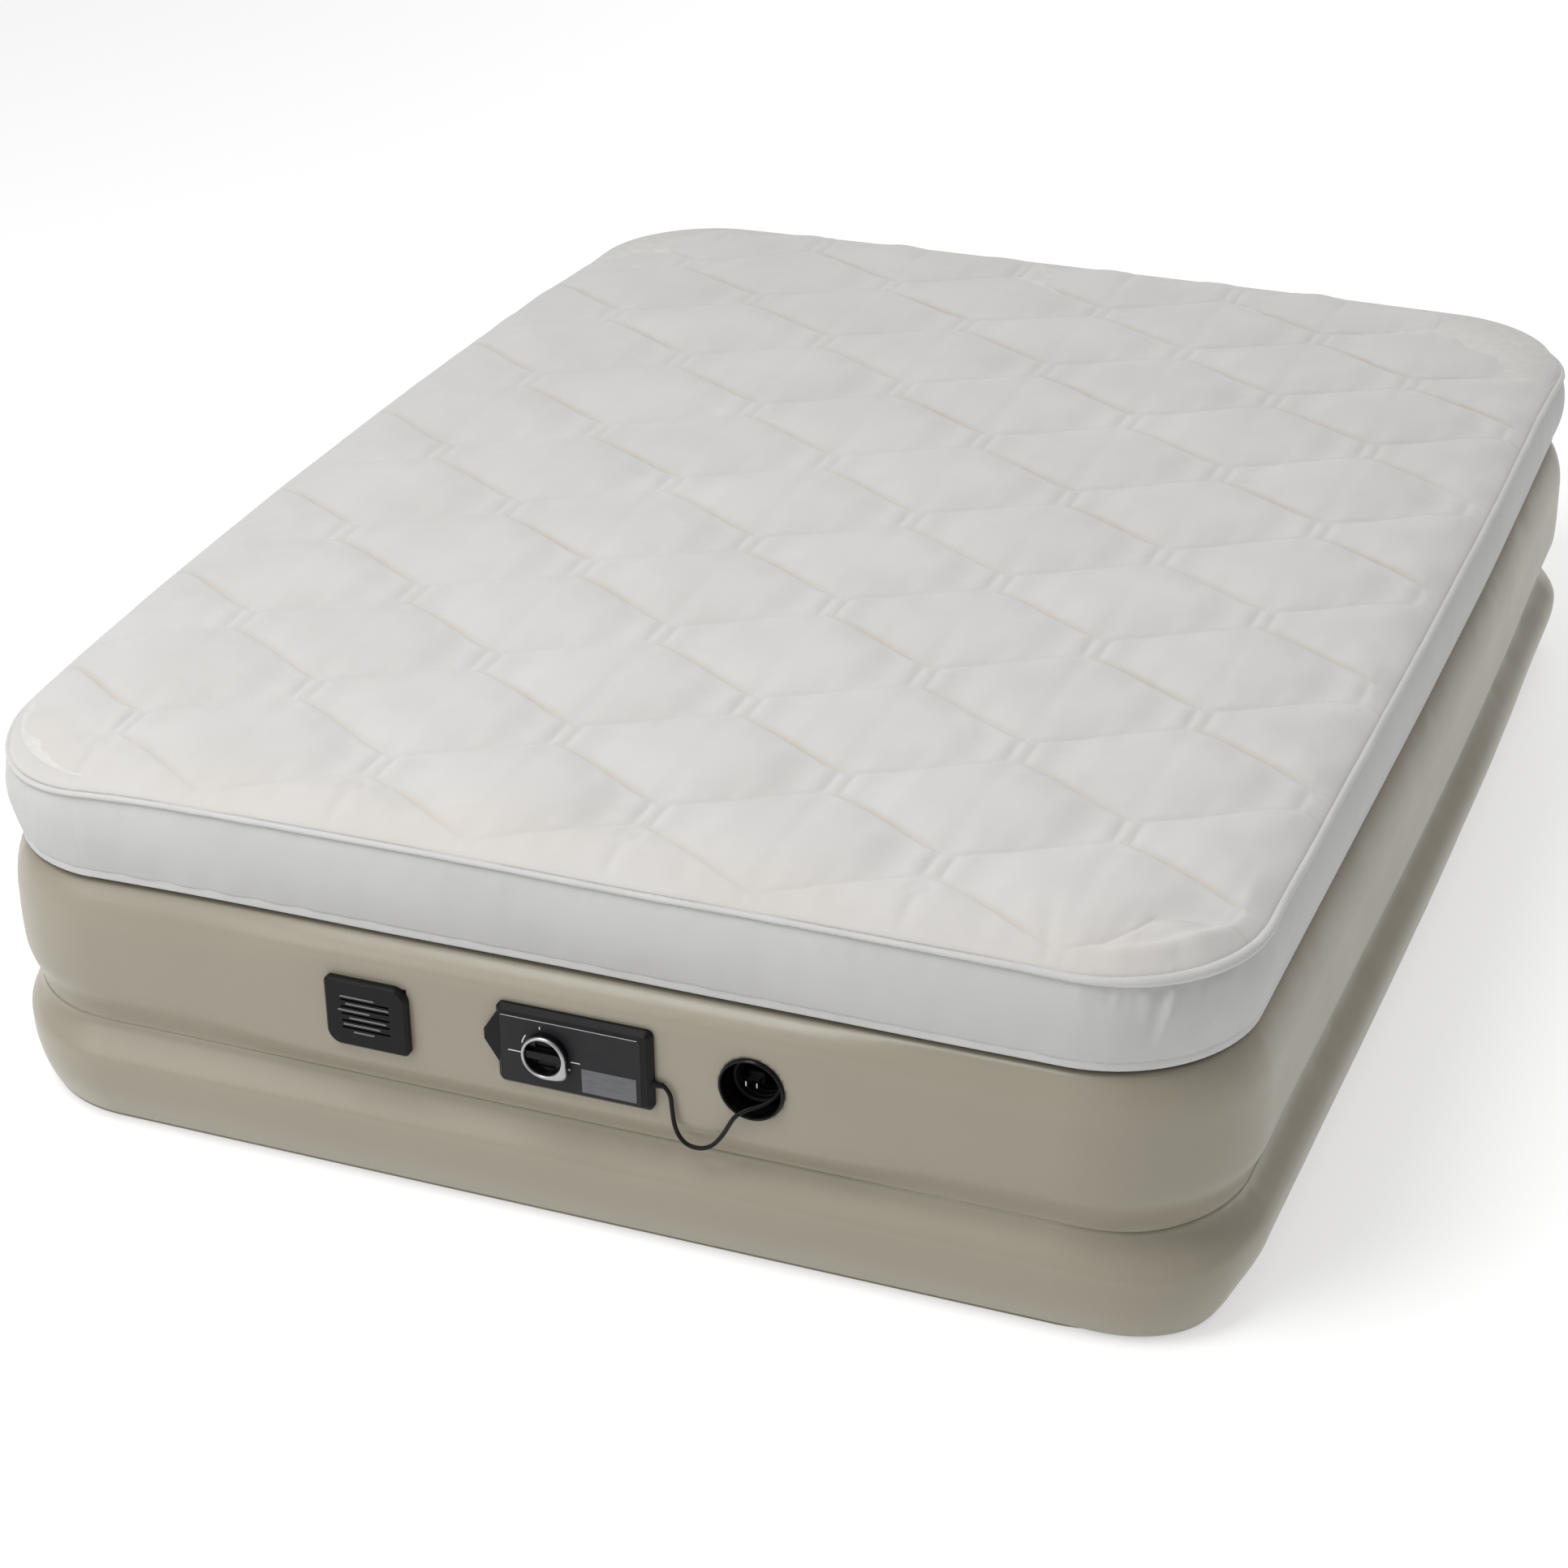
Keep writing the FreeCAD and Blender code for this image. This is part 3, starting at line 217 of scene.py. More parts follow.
# ------------------------------------------------------------------ materials
def quilt_cloth():
    finish = Finish("quilt_cloth", 0.86, Sheen_Weight=0.25, Sheen_Roughness=0.6)
    mottle = finish.ramp(finish.noise(7.0, 5.0), [(0.3, (0.535, 0.526, 0.510)), (0.7, (0.575, 0.567, 0.553))])
    # painted shade: a warm tan along one set of stitch lines, where the groove slopes fall into shade
    groove_shaded = finish.blend(finish.painted("groove_shade_tint"), mottle, (0.47, 0.405, 0.34))
    peach = finish.blend(finish.painted("edge_tint"), groove_shaded, (0.62, 0.555, 0.505))
    finish.colour(peach)
    weave = finish.maths("MULTIPLY", finish.wave(330.0, "X", 1.2), finish.wave(330.0, "Y", 1.2))
    finish.vary_roughness(finish.noise(40.0), 0.78, 0.94)
    finish.bumps((weave, 0.25, 0.0004), (finish.noise(90.0, 4.0), 0.2, 0.0012))
    return finish.material


def backing_cloth():
    finish = Finish("backing_cloth", 0.9, Sheen_Weight=0.1)
    finish.colour(finish.ramp(finish.noise(60.0, 6.0), shades((0.62, 0.61, 0.58), 0.06)))
    finish.vary_roughness(finish.noise(30.0), 0.84, 0.96)
    finish.bumps((finish.cells(420.0), 0.3, 0.0004), (finish.noise(25.0), 0.2, 0.002))
    return finish.material


def skirt_cloth():
    finish = Finish("skirt_cloth", 0.8, Sheen_Weight=0.2, Sheen_Roughness=0.5)
    tones = [(0.3, (0.482, 0.480, 0.476)), (0.7, (0.522, 0.520, 0.516))]
    finish.colour(finish.ramp(finish.noise(5.0, 4.0), tones))
    knit = finish.wave(420.0, "Z", 2.0)
    finish.vary_roughness(finish.noise(22.0), 0.7, 0.88)
    finish.bumps((knit, 0.22, 0.0003), (finish.noise(60.0, 3.0, finish.stretched((1, 1, 0.3))), 0.25, 0.001))
    return finish.material


def piping_cloth():
    finish = Finish("piping_cloth", 0.78, Sheen_Weight=0.2)
    finish.colour(finish.ramp(finish.noise(30.0, 4.0), shades((0.555, 0.550, 0.542), 0.035)))
    finish.vary_roughness(finish.noise(80.0), 0.7, 0.86)
    finish.bumps((finish.wave(260.0, "DIAGONAL", 1.0), 0.25, 0.0004), (finish.noise(120.0), 0.3, 0.0008))
    return finish.material


def hem_elastic():
    finish = Finish("hem_elastic", 0.82, Sheen_Weight=0.15)
    finish.colour(finish.ramp(finish.noise(18.0, 4.0), shades((0.555, 0.553, 0.548), 0.03)))
    finish.vary_roughness(finish.noise(60.0), 0.74, 0.9)
    finish.bumps((finish.wave(380.0, "Z", 1.5), 0.3, 0.0004), (finish.noise(150.0), 0.25, 0.0006))
    return finish.material


def vinyl(name, colour, low, high):
    finish = Finish(name, 0.42, Specular_IOR_Level=0.45)
    cloudy = finish.ramp(finish.noise(3.0, 5.0, distortion=0.3), shades(colour, 0.035))
    finish.colour(cloudy)
    finish.vary_roughness(finish.noise(9.0, 6.0), low, high)
    grain = finish.cells(620.0)
    finish.bumps(
        (grain, 0.12, 0.0003),
        (finish.noise(14.0, 3.0, finish.stretched((1, 1, 3))), 0.2, 0.003),
        (finish.noise(70.0, 4.0), 0.06, 0.0012),
    )
    return finish.material


def flocked():
    finish = Finish("flocked_vinyl", 0.95, Sheen_Weight=0.6, Sheen_Roughness=0.4)
    finish.colour(finish.ramp(finish.noise(260.0, 5.0), shades((0.27, 0.25, 0.20), 0.16)))
    finish.vary_roughness(finish.noise(30.0), 0.88, 1.0)
    finish.bumps((finish.noise(900.0, 2.0), 0.5, 0.0006), (finish.noise(12.0), 0.2, 0.003))
    return finish.material


def plastic(name, colour, low, high, grain=2600.0, depth=0.03, coat=0.0):
    finish = Finish(name, 0.4, Specular_IOR_Level=0.16, Coat_Weight=coat, Coat_Roughness=0.12)
    finish.colour(finish.ramp(finish.noise(45.0, 5.0), shades(colour, 0.10)))
    finish.vary_roughness(finish.noise(160.0, 4.0), low, high)
    finish.bumps((finish.cells(grain), depth, 0.00008), (finish.noise(35.0), 0.02, 0.0004))
    return finish.material


def metal(name, colour, low, high, scale=(1, 1, 1)):
    finish = Finish(name, 0.3, Metallic=1.0)
    brushed = finish.noise(380.0, 4.0, finish.stretched(scale))
    finish.colour(finish.ramp(brushed, shades(colour, 0.08)))
    finish.vary_roughness(brushed, low, high)
    finish.bumps((brushed, 0.12, 0.0002))
    return finish.material


def rubber(name, colour, low=0.5, high=0.68):
    finish = Finish(name, 0.6, Specular_IOR_Level=0.15)
    finish.colour(finish.ramp(finish.noise(120.0, 4.0), shades(colour, 0.15)))
    finish.vary_roughness(finish.noise(90.0), low, high)
    finish.bumps((finish.noise(900.0, 2.0), 0.15, 0.0002))
    return finish.material


def circuit_board():
    finish = Finish("circuit_board", 0.45)
    greens = [(0.45, (0.012, 0.10, 0.035)), (0.55, (0.03, 0.19, 0.07))]
    finish.colour(finish.ramp(finish.wave(90.0, "Z", 4.0), greens))
    finish.vary_roughness(finish.noise(300.0), 0.35, 0.55)
    finish.bumps((finish.wave(90.0, "Z", 4.0), 0.3, 0.0001))
    return finish.material


def label_card():
    finish = Finish("label_card", 0.6)
    grain = finish.noise(60.0, 6.0, finish.stretched((1, 1, 4)))
    finish.colour(finish.ramp(grain, shades((0.11, 0.112, 0.118), 0.16)))
    finish.vary_roughness(finish.noise(140.0), 0.5, 0.72)
    finish.bumps((finish.noise(700.0), 0.2, 0.0001))
    return finish.material


def studio_floor():
    finish = Finish("studio_floor", 0.9, Specular_IOR_Level=0.1)
    finish.colour(finish.ramp(finish.noise(0.5), shades((0.60, 0.60, 0.60), 0.003)))
    finish.shader.inputs["Emission Color"].default_value = (1.0, 1.0, 1.0, 1.0)
    finish.shader.inputs["Emission Strength"].default_value = 0.5
    return finish.material


# ------------------------------------------------------------------ piece tools
def piece(name, points, faces, material, body, stands_for=(), smooth_shaded=True):
    """A mesh object from points and faces, riding on a body."""
    mesh = bpy.data.meshes.new(name)
    mesh.from_pydata([tuple(point) for point in points], [], faces)
    mesh.validate()
    mesh.update()
    mesh.materials.append(material)
    if smooth_shaded:
        mesh.shade_smooth()
    obj = bpy.data.objects.new(name, mesh)
    bpy.context.scene.collection.objects.link(obj)
    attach(obj, body)
    if stands_for:
        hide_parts(*stands_for)
    return obj


def thicken(obj, thickness, offset=-1.0):
    modifier = obj.modifiers.new("thickness", "SOLIDIFY")
    modifier.thickness = thickness
    modifier.offset = offset
    return obj


class Station:
    """A place on the bed's outline: its point, the way out, the run to it and how far into a corner."""

    def __init__(self, place, out, run, corner):
        self.place = place
        self.out = out
        self.run = run
        self.corner = corner

    def at(self, offset, height):
        point = self.place + self.out * offset
        return (*settled(point.x, point.y), height)


def even_steps(start, end, step):
    count = max(1, round((end - start) / step))
    return [mix(start, end, index / count) for index in range(count)]


def outline(step=0.015, corner_steps=26, fine_span=None, fine_step=0.005):
    """Stations anticlockwise round the nominal outline, closer together along fine_span of the foot end."""
    stations = []
    run = 0.0
    spans = (HALF_WIDTH - CORNER_RADIUS, HALF_LENGTH - CORNER_RADIUS)
    reaches = (HALF_LENGTH, HALF_WIDTH)
    for quarter in range(4):
        angle = quarter * math.pi / 2
        along = Vector((math.cos(angle), math.sin(angle), 0))
        out = Vector((math.sin(angle), -math.cos(angle), 0))
        half = spans[quarter % 2]
        reach = reaches[quarter % 2]
        if quarter == 0 and fine_span:
            low, high = fine_span
            steps = even_steps(-half, low, step) + even_steps(low, high, fine_step)
            steps += even_steps(high, half, step)
        else:
            steps = even_steps(-half, half, step)
        stations += [Station(out * reach + along * t, out, run + half + t, 0.0) for t in steps]
        run += 2 * half
        centre = out * (reach - CORNER_RADIUS) + along * half
        for index in range(corner_steps):
            turn = index / corner_steps * math.pi / 2
            way = out * math.cos(turn) + along * math.sin(turn)
            into = math.sin(2 * turn) ** 2
            stations.append(Station(centre + way * CORNER_RADIUS, way, run + CORNER_RADIUS * turn, into))
        run += CORNER_RADIUS * math.pi / 2
    return stations


def grid_faces(columns, rows):
    """Faces of a sheet whose points run up each column in turn."""
    faces = []
    for column in range(columns - 1):
        for index in range(rows - 1):
            here = column * rows + index
            faces.append((here, here + rows, here + rows + 1, here + 1))
    return faces


def closed_faces(around, count):
    """Faces of a closed ring of sections, with count points round each."""
    faces = []
    for section in range(around):
        here = section * count
        there = (section + 1) % around * count
        for index in range(count):
            after = (index + 1) % count
            faces.append((here + index, here + after, there + after, there + index))
    return faces


def band(stations, rows, shape):
    """A ring of cloth: shape(station, share up) gives how far out and how high each point is."""
    points = []
    for station in stations:
        for row in range(rows + 1):
            points.append(station.at(*shape(station, row / rows)))
    around = len(stations)
    faces = []
    for index in range(around):
        here = index * (rows + 1)
        there = (index + 1) % around * (rows + 1)
        for row in range(rows):
            faces.append((here + row, there + row, there + row + 1, here + row + 1))
    return points, faces


def roll(stations, sides, shape):
    """A closed roll round the bed: shape(station, angle) gives how far out and how high each point is."""
    points = []
    for station in stations:
        for side in range(sides):
            points.append(station.at(*shape(station, 2 * math.pi * side / sides)))
    return points, closed_faces(len(stations), sides)


def lathe(centre, profile, sides=72, flare=None):
    """A closed ring about the front-to-back axis through centre (x, z), from (radius, y) points."""
    points = []
    for side in range(sides):
        angle = 2 * math.pi * side / sides
        for radius, depth in profile:
            if flare:
                radius, depth = flare(angle, radius, depth)
            across, up = radius * math.cos(angle), radius * math.sin(angle)
            points.append((centre[0] + across, depth, centre[1] + up))
    return points, closed_faces(sides, len(profile))


def plate(outline_points, back, front):
    """A flat plate facing the foot end, from its outline of (x, z) points, anticlockwise from the front."""
    count = len(outline_points)
    points = [(x, back, z) for x, z in outline_points] + [(x, front, z) for x, z in outline_points]
    faces = [tuple(range(count))[::-1], tuple(range(count, 2 * count))]
    for index in range(count):
        after = (index + 1) % count
        faces.append((index, after, count + after, count + index))
    return points, faces


def plates(shapes, back, front):
    """Several flat plates facing the foot end, as one mesh."""
    points = []
    faces = []
    for shape in shapes:
        more_points, more_faces = plate(shape, back, front)
        faces += [tuple(index + len(points) for index in face) for face in more_faces]
        points += more_points
    return points, faces


def rounded_rectangle(low_x, high_x, low_z, high_z, radius, steps=5):
    points = []
    corners = ((high_x, low_z, -90), (high_x, high_z, 0), (low_x, high_z, 90), (low_x, low_z, 180))
    for x, z, start in corners:
        centre_x = min(max(x, low_x + radius), high_x - radius)
        centre_z = min(max(z, low_z + radius), high_z - radius)
        for step in range(steps + 1):
            angle = math.radians(start + 90 * step / steps)
            points.append((centre_x + radius * math.cos(angle), centre_z + radius * math.sin(angle)))
    return points


# ------------------------------------------------------------------ camera, light, floor
def add_camera():
    azimuth = math.radians(22.017)
    elevation = math.radians(28.184)
    distance = 4.775
    tilt = math.radians(-0.861)
    target = Vector((-0.1261, 0.0, 0.0230))
    level = math.cos(elevation)
    back = Vector((math.sin(azimuth) * level, -math.cos(azimuth) * level, math.sin(elevation)))
    right = (-back).cross(Vector((0, 0, 1))).normalized()
    up = right.cross(-back)
    across = right * math.cos(tilt) + up * math.sin(tilt)
    upward = up * math.cos(tilt) - right * math.sin(tilt)
    data = bpy.data.cameras.new("camera")
    data.lens = 79.58
    data.sensor_width = 36
    camera = bpy.data.objects.new("camera", data)
    turn = Matrix((across, upward, back)).transposed().to_4x4()
    camera.matrix_world = Matrix.Translation(target + back * distance) @ turn
    bpy.context.scene.collection.objects.link(camera)
    bpy.context.scene.camera = camera


def add_lamp(name, place, size, power):
    data = bpy.data.lights.new(name, "AREA")
    data.shape = "DISK"
    data.size = size
    data.energy = power
    lamp = bpy.data.objects.new(name, data)
    lamp.location = place
    lamp.rotation_euler = (Vector((0, 0, 0.3)) - Vector(place)).to_track_quat("-Z", "Y").to_euler()
    bpy.context.scene.collection.objects.link(lamp)


def add_studio():
    world = bpy.data.worlds.new("studio")
    world.use_nodes = True
    background = world.node_tree.nodes["Background"]
    background.inputs["Color"].default_value = (1.0, 1.0, 1.0, 1.0)
    background.inputs["Strength"].default_value = 0.47
    bpy.context.scene.world = world
    bpy.context.scene.view_settings.view_transform = "Standard"
    add_lamp("overhead", (-1.0, -2.0, 4.0), 2.2, 104)
    add_lamp("behind", (0.4, 5.2, 3.2), 3.5, 75)
    add_lamp("front_left", (-2.6, -3.6, 2.2), 2.6, 34)
    reach = 14
    mesh = bpy.data.meshes.new("floor")
    floor_level = -0.001
    signs = ((-1, -1), (1, -1), (1, 1), (-1, 1))
    corners = [(reach * x, reach * y, floor_level) for x, y in signs]
    mesh.from_pydata(corners, [], [(0, 1, 2, 3)])
    mesh.materials.append(studio_floor())
    floor = bpy.data.objects.new("floor", mesh)
    bpy.context.scene.collection.objects.link(floor)


# ------------------------------------------------------------------ mains cord
LEAD_ROUTE = [
    (0.1445, -1.0302, 0.2206), (0.1528, -1.0305, 0.214), (0.154, -1.031, 0.194), (0.1568, -1.031, 0.168),
    (0.1666, -1.0305, 0.1518), (0.1824, -1.03, 0.1475), (0.1998, -1.031, 0.155), (0.2136, -1.033, 0.174),
    (0.2235, -1.0365, 0.193), (0.2305, -1.0385, 0.206), (0.241, -1.0335, 0.2135), (0.256, -1.023, 0.216),
    (0.269, -1.013, 0.223), (0.274, -1.0075, 0.236), (0.2725, -1.0075, 0.247),
]
TAIL_ROUTE = [
    (0.274, -0.9695, 0.230), (0.2745, -0.966, 0.244), (0.2705, -0.957, 0.257), (0.261, -0.9455, 0.264),
    (0.2484, -0.939, 0.2635), (0.239, -0.938, 0.2538), (0.239, -0.938, 0.2404), (0.239, -0.9474, 0.231),
    (0.239, -0.961, 0.231),
]
CORD_DIAMETER = 0.005
COIL_CENTRE = (0.246, 0.237)
COIL_RADIUS = 0.0283
COIL_TURNS = 8
POINTS_PER_TURN = 16


def coil_route():
    """Eight turns inside the round compartment, from its mouth towards its floor."""
    front = LEAD_ROUTE[-1][1]
    back = TAIL_ROUTE[0][1]
    steps = COIL_TURNS * POINTS_PER_TURN
    route = []
    for step in range(2, steps - 1):
        angle = 2 * math.pi * step / POINTS_PER_TURN
        radius = COIL_RADIUS + 0.0011 * math.cos(angle / 2)
        x = COIL_CENTRE[0] + radius * math.cos(angle)
        z = COIL_CENTRE[1] + radius * math.sin(angle)
        route.append((x, mix(front, back, step / steps), z))
    return route


def add_cord(cord_rubber):
    route = LEAD_ROUTE + coil_route() + TAIL_ROUTE
    curve = bpy.data.curves.new("mains_lead", "CURVE")
    curve.dimensions = "3D"
    curve.bevel_depth = CORD_DIAMETER / 2
    curve.bevel_resolution = 4
    curve.resolution_u = 6
    curve.use_fill_caps = True
    spline = curve.splines.new("NURBS")
    spline.points.add(len(route) - 1)
    for point, place in zip(spline.points, route):
        point.co = (*place, 1.0)
    spline.order_u = 3
    spline.use_endpoint_u = True
    curve.materials.append(cord_rubber)
    lead = bpy.data.objects.new("mains_lead", curve)
    bpy.context.scene.collection.objects.link(lead)
    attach(lead, "bed")
    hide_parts("mains_cord", "cord_coil", "cord_tail")
    return lead


def add_strain_relief(cord_rubber):
    """A ribbed cone on the panel's side that the lead leaves through."""
    low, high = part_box("cord_gland")
    exit_point = LEAD_ROUTE[0]
    ribs = 6
    profile = [(low[0], 0.0), (low[0], 0.0039)]
    for rib in range(ribs):
        start = mix(low[0] + 0.004, high[0], rib / ribs)
        width = (high[0] - low[0] - 0.004) / ribs
        radius = mix(0.0040, 0.0031, rib / ribs)
        profile += [(start, radius), (start + width * 0.6, radius), (start + width * 0.65, radius - 0.0006)]
        profile.append((start + width * 0.95, radius - 0.0006))
    profile += [(high[0], 0.0029), (high[0], 0.0)]
    sides = 28
    points = []
    for x, radius in profile:
        for side in range(sides):
            angle = 2 * math.pi * side / sides
            across, up = radius * math.cos(angle), radius * math.sin(angle)
            points.append((x, exit_point[1] + across, exit_point[2] + up))
    faces = []
    for ring in range(len(profile) - 1):
        for side in range(sides):
            after = (side + 1) % sides
            base = ring * sides
            faces.append((base + side, base + after, base + sides + after, base + sides + side))
    relief = piece("strain_relief", points, faces, cord_rubber, "bed", ("cord_gland",))
    bpy.context.view_layer.update()
    return relief


# ------------------------------------------------------------------ quilted pad
PAD_EDGE = 0.0056
PAD_HALF_X = HALF_WIDTH - PAD_EDGE
PAD_HALF_Y = HALF_LENGTH - PAD_EDGE
PAD_RADIUS = CORNER_RADIUS - PAD_EDGE
CELL_WIDTH = 0.333
ROW_PITCH = 0.1404
SIDE_LENGTH = 0.05
CHANNEL_HALF = 0.010
FIRST_COLUMN = 0.072
FIRST_ROW = -0.878
FIRST_LINE = -1
LAST_LINE = 12
PAD_FLOOR = 0.4508


def round_corners(x, y, half_x, half_y, radius):
    """Carry a point of a square-cornered sheet to the same sheet with round corners."""
    over_x = abs(x) - (half_x - radius)
    over_y = abs(y) - (half_y - radius)
    if over_x <= 0 or over_y <= 0:
        return x, y
    reach = max(over_x, over_y)
    share = min(over_x, over_y) / reach * math.pi / 4
    angle = share if over_x >= over_y else math.pi / 2 - share
    new_x = half_x - radius + reach * math.cos(angle)
    new_y = half_y - radius + reach * math.sin(angle)
    return math.copysign(new_x, x), math.copysign(new_y, y)


def column_of(row):
    return FIRST_COLUMN + row % 2 * CELL_WIDTH / 2


def wrapped(x, row):
    """Distance across from the nearest short side of a row's cells, negative to its left."""
    return (x - column_of(row) + CELL_WIDTH / 2) % CELL_WIDTH - CELL_WIDTH / 2


def stitch_line(x, row):
    """The zigzag between a row of cells and the next one up the bed."""
    share = abs(wrapped(x, row)) / (CELL_WIDTH / 2)
    eased = mix(share, (1 - math.cos(math.pi * share)) / 2, 0.35)
    return FIRST_ROW + row * ROW_PITCH + SIDE_LENGTH / 2 + (ROW_PITCH - SIDE_LENGTH) * eased


def band_edges(x):
    lines = [stitch_line(x, row) for row in range(FIRST_LINE, LAST_LINE + 1)]
    return [-PAD_HALF_Y] + lines + [PAD_HALF_Y]


def quilt_columns(near, rim=()):
    """Columns of the sheet, closer together beside each column of short sides and at the rim."""
    half_cell = CELL_WIDTH / 2
    offsets = [0.0, *near]
    offsets += [half_cell - distance for distance in reversed(near[:-1])]
    columns = {side * (PAD_HALF_X - distance) for distance in (0.0, *rim) for side in (-1, 1)}
    clear = 0.004 + max(rim, default=0.0)
    first = math.floor((-PAD_HALF_X - FIRST_COLUMN) / half_cell)
    for cell in range(first, first + 12):
        for offset in offsets:
            x = FIRST_COLUMN + cell * half_cell + offset
            if abs(x) < PAD_HALF_X - clear:
                columns.add(round(x, 6))
    return sorted(columns)


def quilt_rows(x, near, middle):
    """Rows of the sheet at one column, following the stitch lines."""
    rows = []
    edges = band_edges(x)
    for low, high in zip(edges, edges[1:]):
        squeeze = min(1.0, (high - low) / (near[-1] * 2.5))
        first = low + near[-1] * squeeze
        last = high - near[-1] * squeeze
        rows.append(low)
        rows += [low + distance * squeeze for distance in near[:-1]]
        rows += [mix(first, last, index / middle) for index in range(middle + 1)]
        rows += [high - distance * squeeze for distance in reversed(near[:-1])]
    rows.append(edges[-1])
    return rows


def stitch_distance(x, y, row, low, high):
    """How far a point of a row's band is from the nearest line of stitching."""
    below = (y - low) * STITCH_SLOPE if row > FIRST_LINE else 1.0
    above = (high - y) * STITCH_SLOPE if row <= LAST_LINE else 1.0
    past = max(0.0, abs(y - FIRST_ROW - row * ROW_PITCH) - SIDE_LENGTH / 2)
    side = math.hypot(abs(wrapped(x, row)) - CHANNEL_HALF, past)
    return min(below, above, side)


def edge_distance(x, y):
    return min(PAD_HALF_X - abs(x), PAD_HALF_Y - abs(y))


def plain_puff(distance):
    return 0.0035 * (1 - math.exp(-distance / 0.006)) + 0.0085 * (1 - hump(distance, 0.045))


class BlownSheet:
    """The top cover as cloth, held along its stitching and blown up from below, read back as heights."""

    near = (CHANNEL_HALF, 0.022, 0.036, 0.052, 0.068, 0.0835)
    row_near = (0.006, 0.016)
    middle = 6
    cap = 0.017
    kept = 0.62

    def __init__(self):
        self.columns = quilt_columns(self.near)
        self.rows = [quilt_rows(x, self.row_near, self.middle) for x in self.columns]
        self.count = len(self.rows[0])
        self.per_band = (self.count - 1) // (len(band_edges(0.0)) - 1)
        self.heights = self.simulate()

    def simulate(self):
        points = []
        held = []
        for x, rows in zip(self.columns, self.rows):
            edges = band_edges(x)
            for index, y in enumerate(rows):
                row = min(index // self.per_band, len(edges) - 2)
                distance = stitch_distance(x, y, row + FIRST_LINE, edges[row], edges[row + 1])
                rim = edge_distance(x, y) < 0.001
                if distance < 0.0012 or rim:
                    held.append(len(points))
                points.append((x, y, 0.6 * plain_puff(max(0.0, min(distance, edge_distance(x, y))))))
        mesh = bpy.data.meshes.new("blown_sheet")
        mesh.from_pydata(points, [], grid_faces(len(self.columns), self.count))
        sheet = bpy.data.objects.new("blown_sheet", mesh)
        bpy.context.scene.collection.objects.link(sheet)
        pins = sheet.vertex_groups.new(name="stitching")
        pins.add(held, 1.0, "REPLACE")
        cloth = sheet.modifiers.new("cloth", "CLOTH")
        settings = cloth.settings
        settings.quality = 4
        settings.mass = 0.15
        settings.tension_stiffness = 12
        settings.compression_stiffness = 3
        settings.shear_stiffness = 4
        settings.bending_stiffness = 0.08
        settings.vertex_group_mass = "stitching"
        settings.use_pressure = True
        settings.uniform_pressure_force = 2.5
        settings.shrink_min = -0.035
        settings.effector_weights.gravity = 0
        cloth.point_cache.frame_start = 1
        cloth.point_cache.frame_end = CLOTH_FRAMES
        for step in range(1, CLOTH_FRAMES + 1):
            bpy.context.scene.frame_set(step)
        shaped = sheet.evaluated_get(bpy.context.evaluated_depsgraph_get()).to_mesh()
        heights = [self.kept * min(self.cap, max(0.0, vertex.co.z)) for vertex in shaped.vertices]
        bpy.data.objects.remove(sheet)
        bpy.context.scene.frame_set(1)
        return heights

    def in_column(self, column, band_index, share):
        start = band_index * self.per_band
        rows = self.rows[column][start:start + self.per_band + 1]
        y = mix(rows[0], rows[-1], share)
        index = min(max(bisect.bisect_right(rows, y) - 1, 0), len(rows) - 2)
        part = (y - rows[index]) / max(rows[index + 1] - rows[index], 1e-9)
        base = column * self.count + start + index
        return mix(self.heights[base], self.heights[base + 1], part)

    def height(self, x, band_index, share):
        column = min(max(bisect.bisect_right(self.columns, x) - 1, 0), len(self.columns) - 2)
        gap = self.columns[column + 1] - self.columns[column]
        part = (x - self.columns[column]) / gap
        left = self.in_column(column, band_index, share)
        right = self.in_column(column + 1, band_index, share)
        return mix(left, right, part)


def seam_height(x, y):
    """The height of the pad's sewn edge: it sags at the foot corners."""
    left = hump(math.hypot(x + HALF_WIDTH, y + HALF_LENGTH), 0.19)
    right = hump(math.hypot(x - HALF_WIDTH, y + HALF_LENGTH), 0.15)
    head = smooth((y - 0.45) / 0.6)
    head_corner = smooth((y - 0.6) / 0.4) * smooth((abs(x) - 0.4) / 0.36)
    waver = 0.0016 * rough(x * 4.0, y * 4.0, 3.0)
    waver += 0.0018 * smooth((x - 0.5) / 0.2) * rough(7.0, y * 7.0, 3.0)
    return SEAM_HEIGHT - 0.020 * left - 0.004 * right - 0.006 * head - 0.013 * head_corner + waver


def left_foot_sag(x, y):
    return 0.006 * hump(math.hypot(x + HALF_WIDTH, y + HALF_LENGTH), 0.3)


def corner_tuck(x, y, edge):
    """The lens of spare cloth along the edge at the foot's right corner, and a short tuck beside it."""
    near = hump(math.hypot(x - HALF_WIDTH + 0.07, y + HALF_LENGTH - 0.07), 0.13)
    lens = 0.0042 * hump(edge - 0.024, 0.009) - 0.0034 * hump(edge - 0.043, 0.007)
    tuck = 0.0045 * hump(x - 0.545 + 0.25 * (y + 0.93), 0.006) * hump(y + 0.945, 0.035)
    return near * lens - tuck


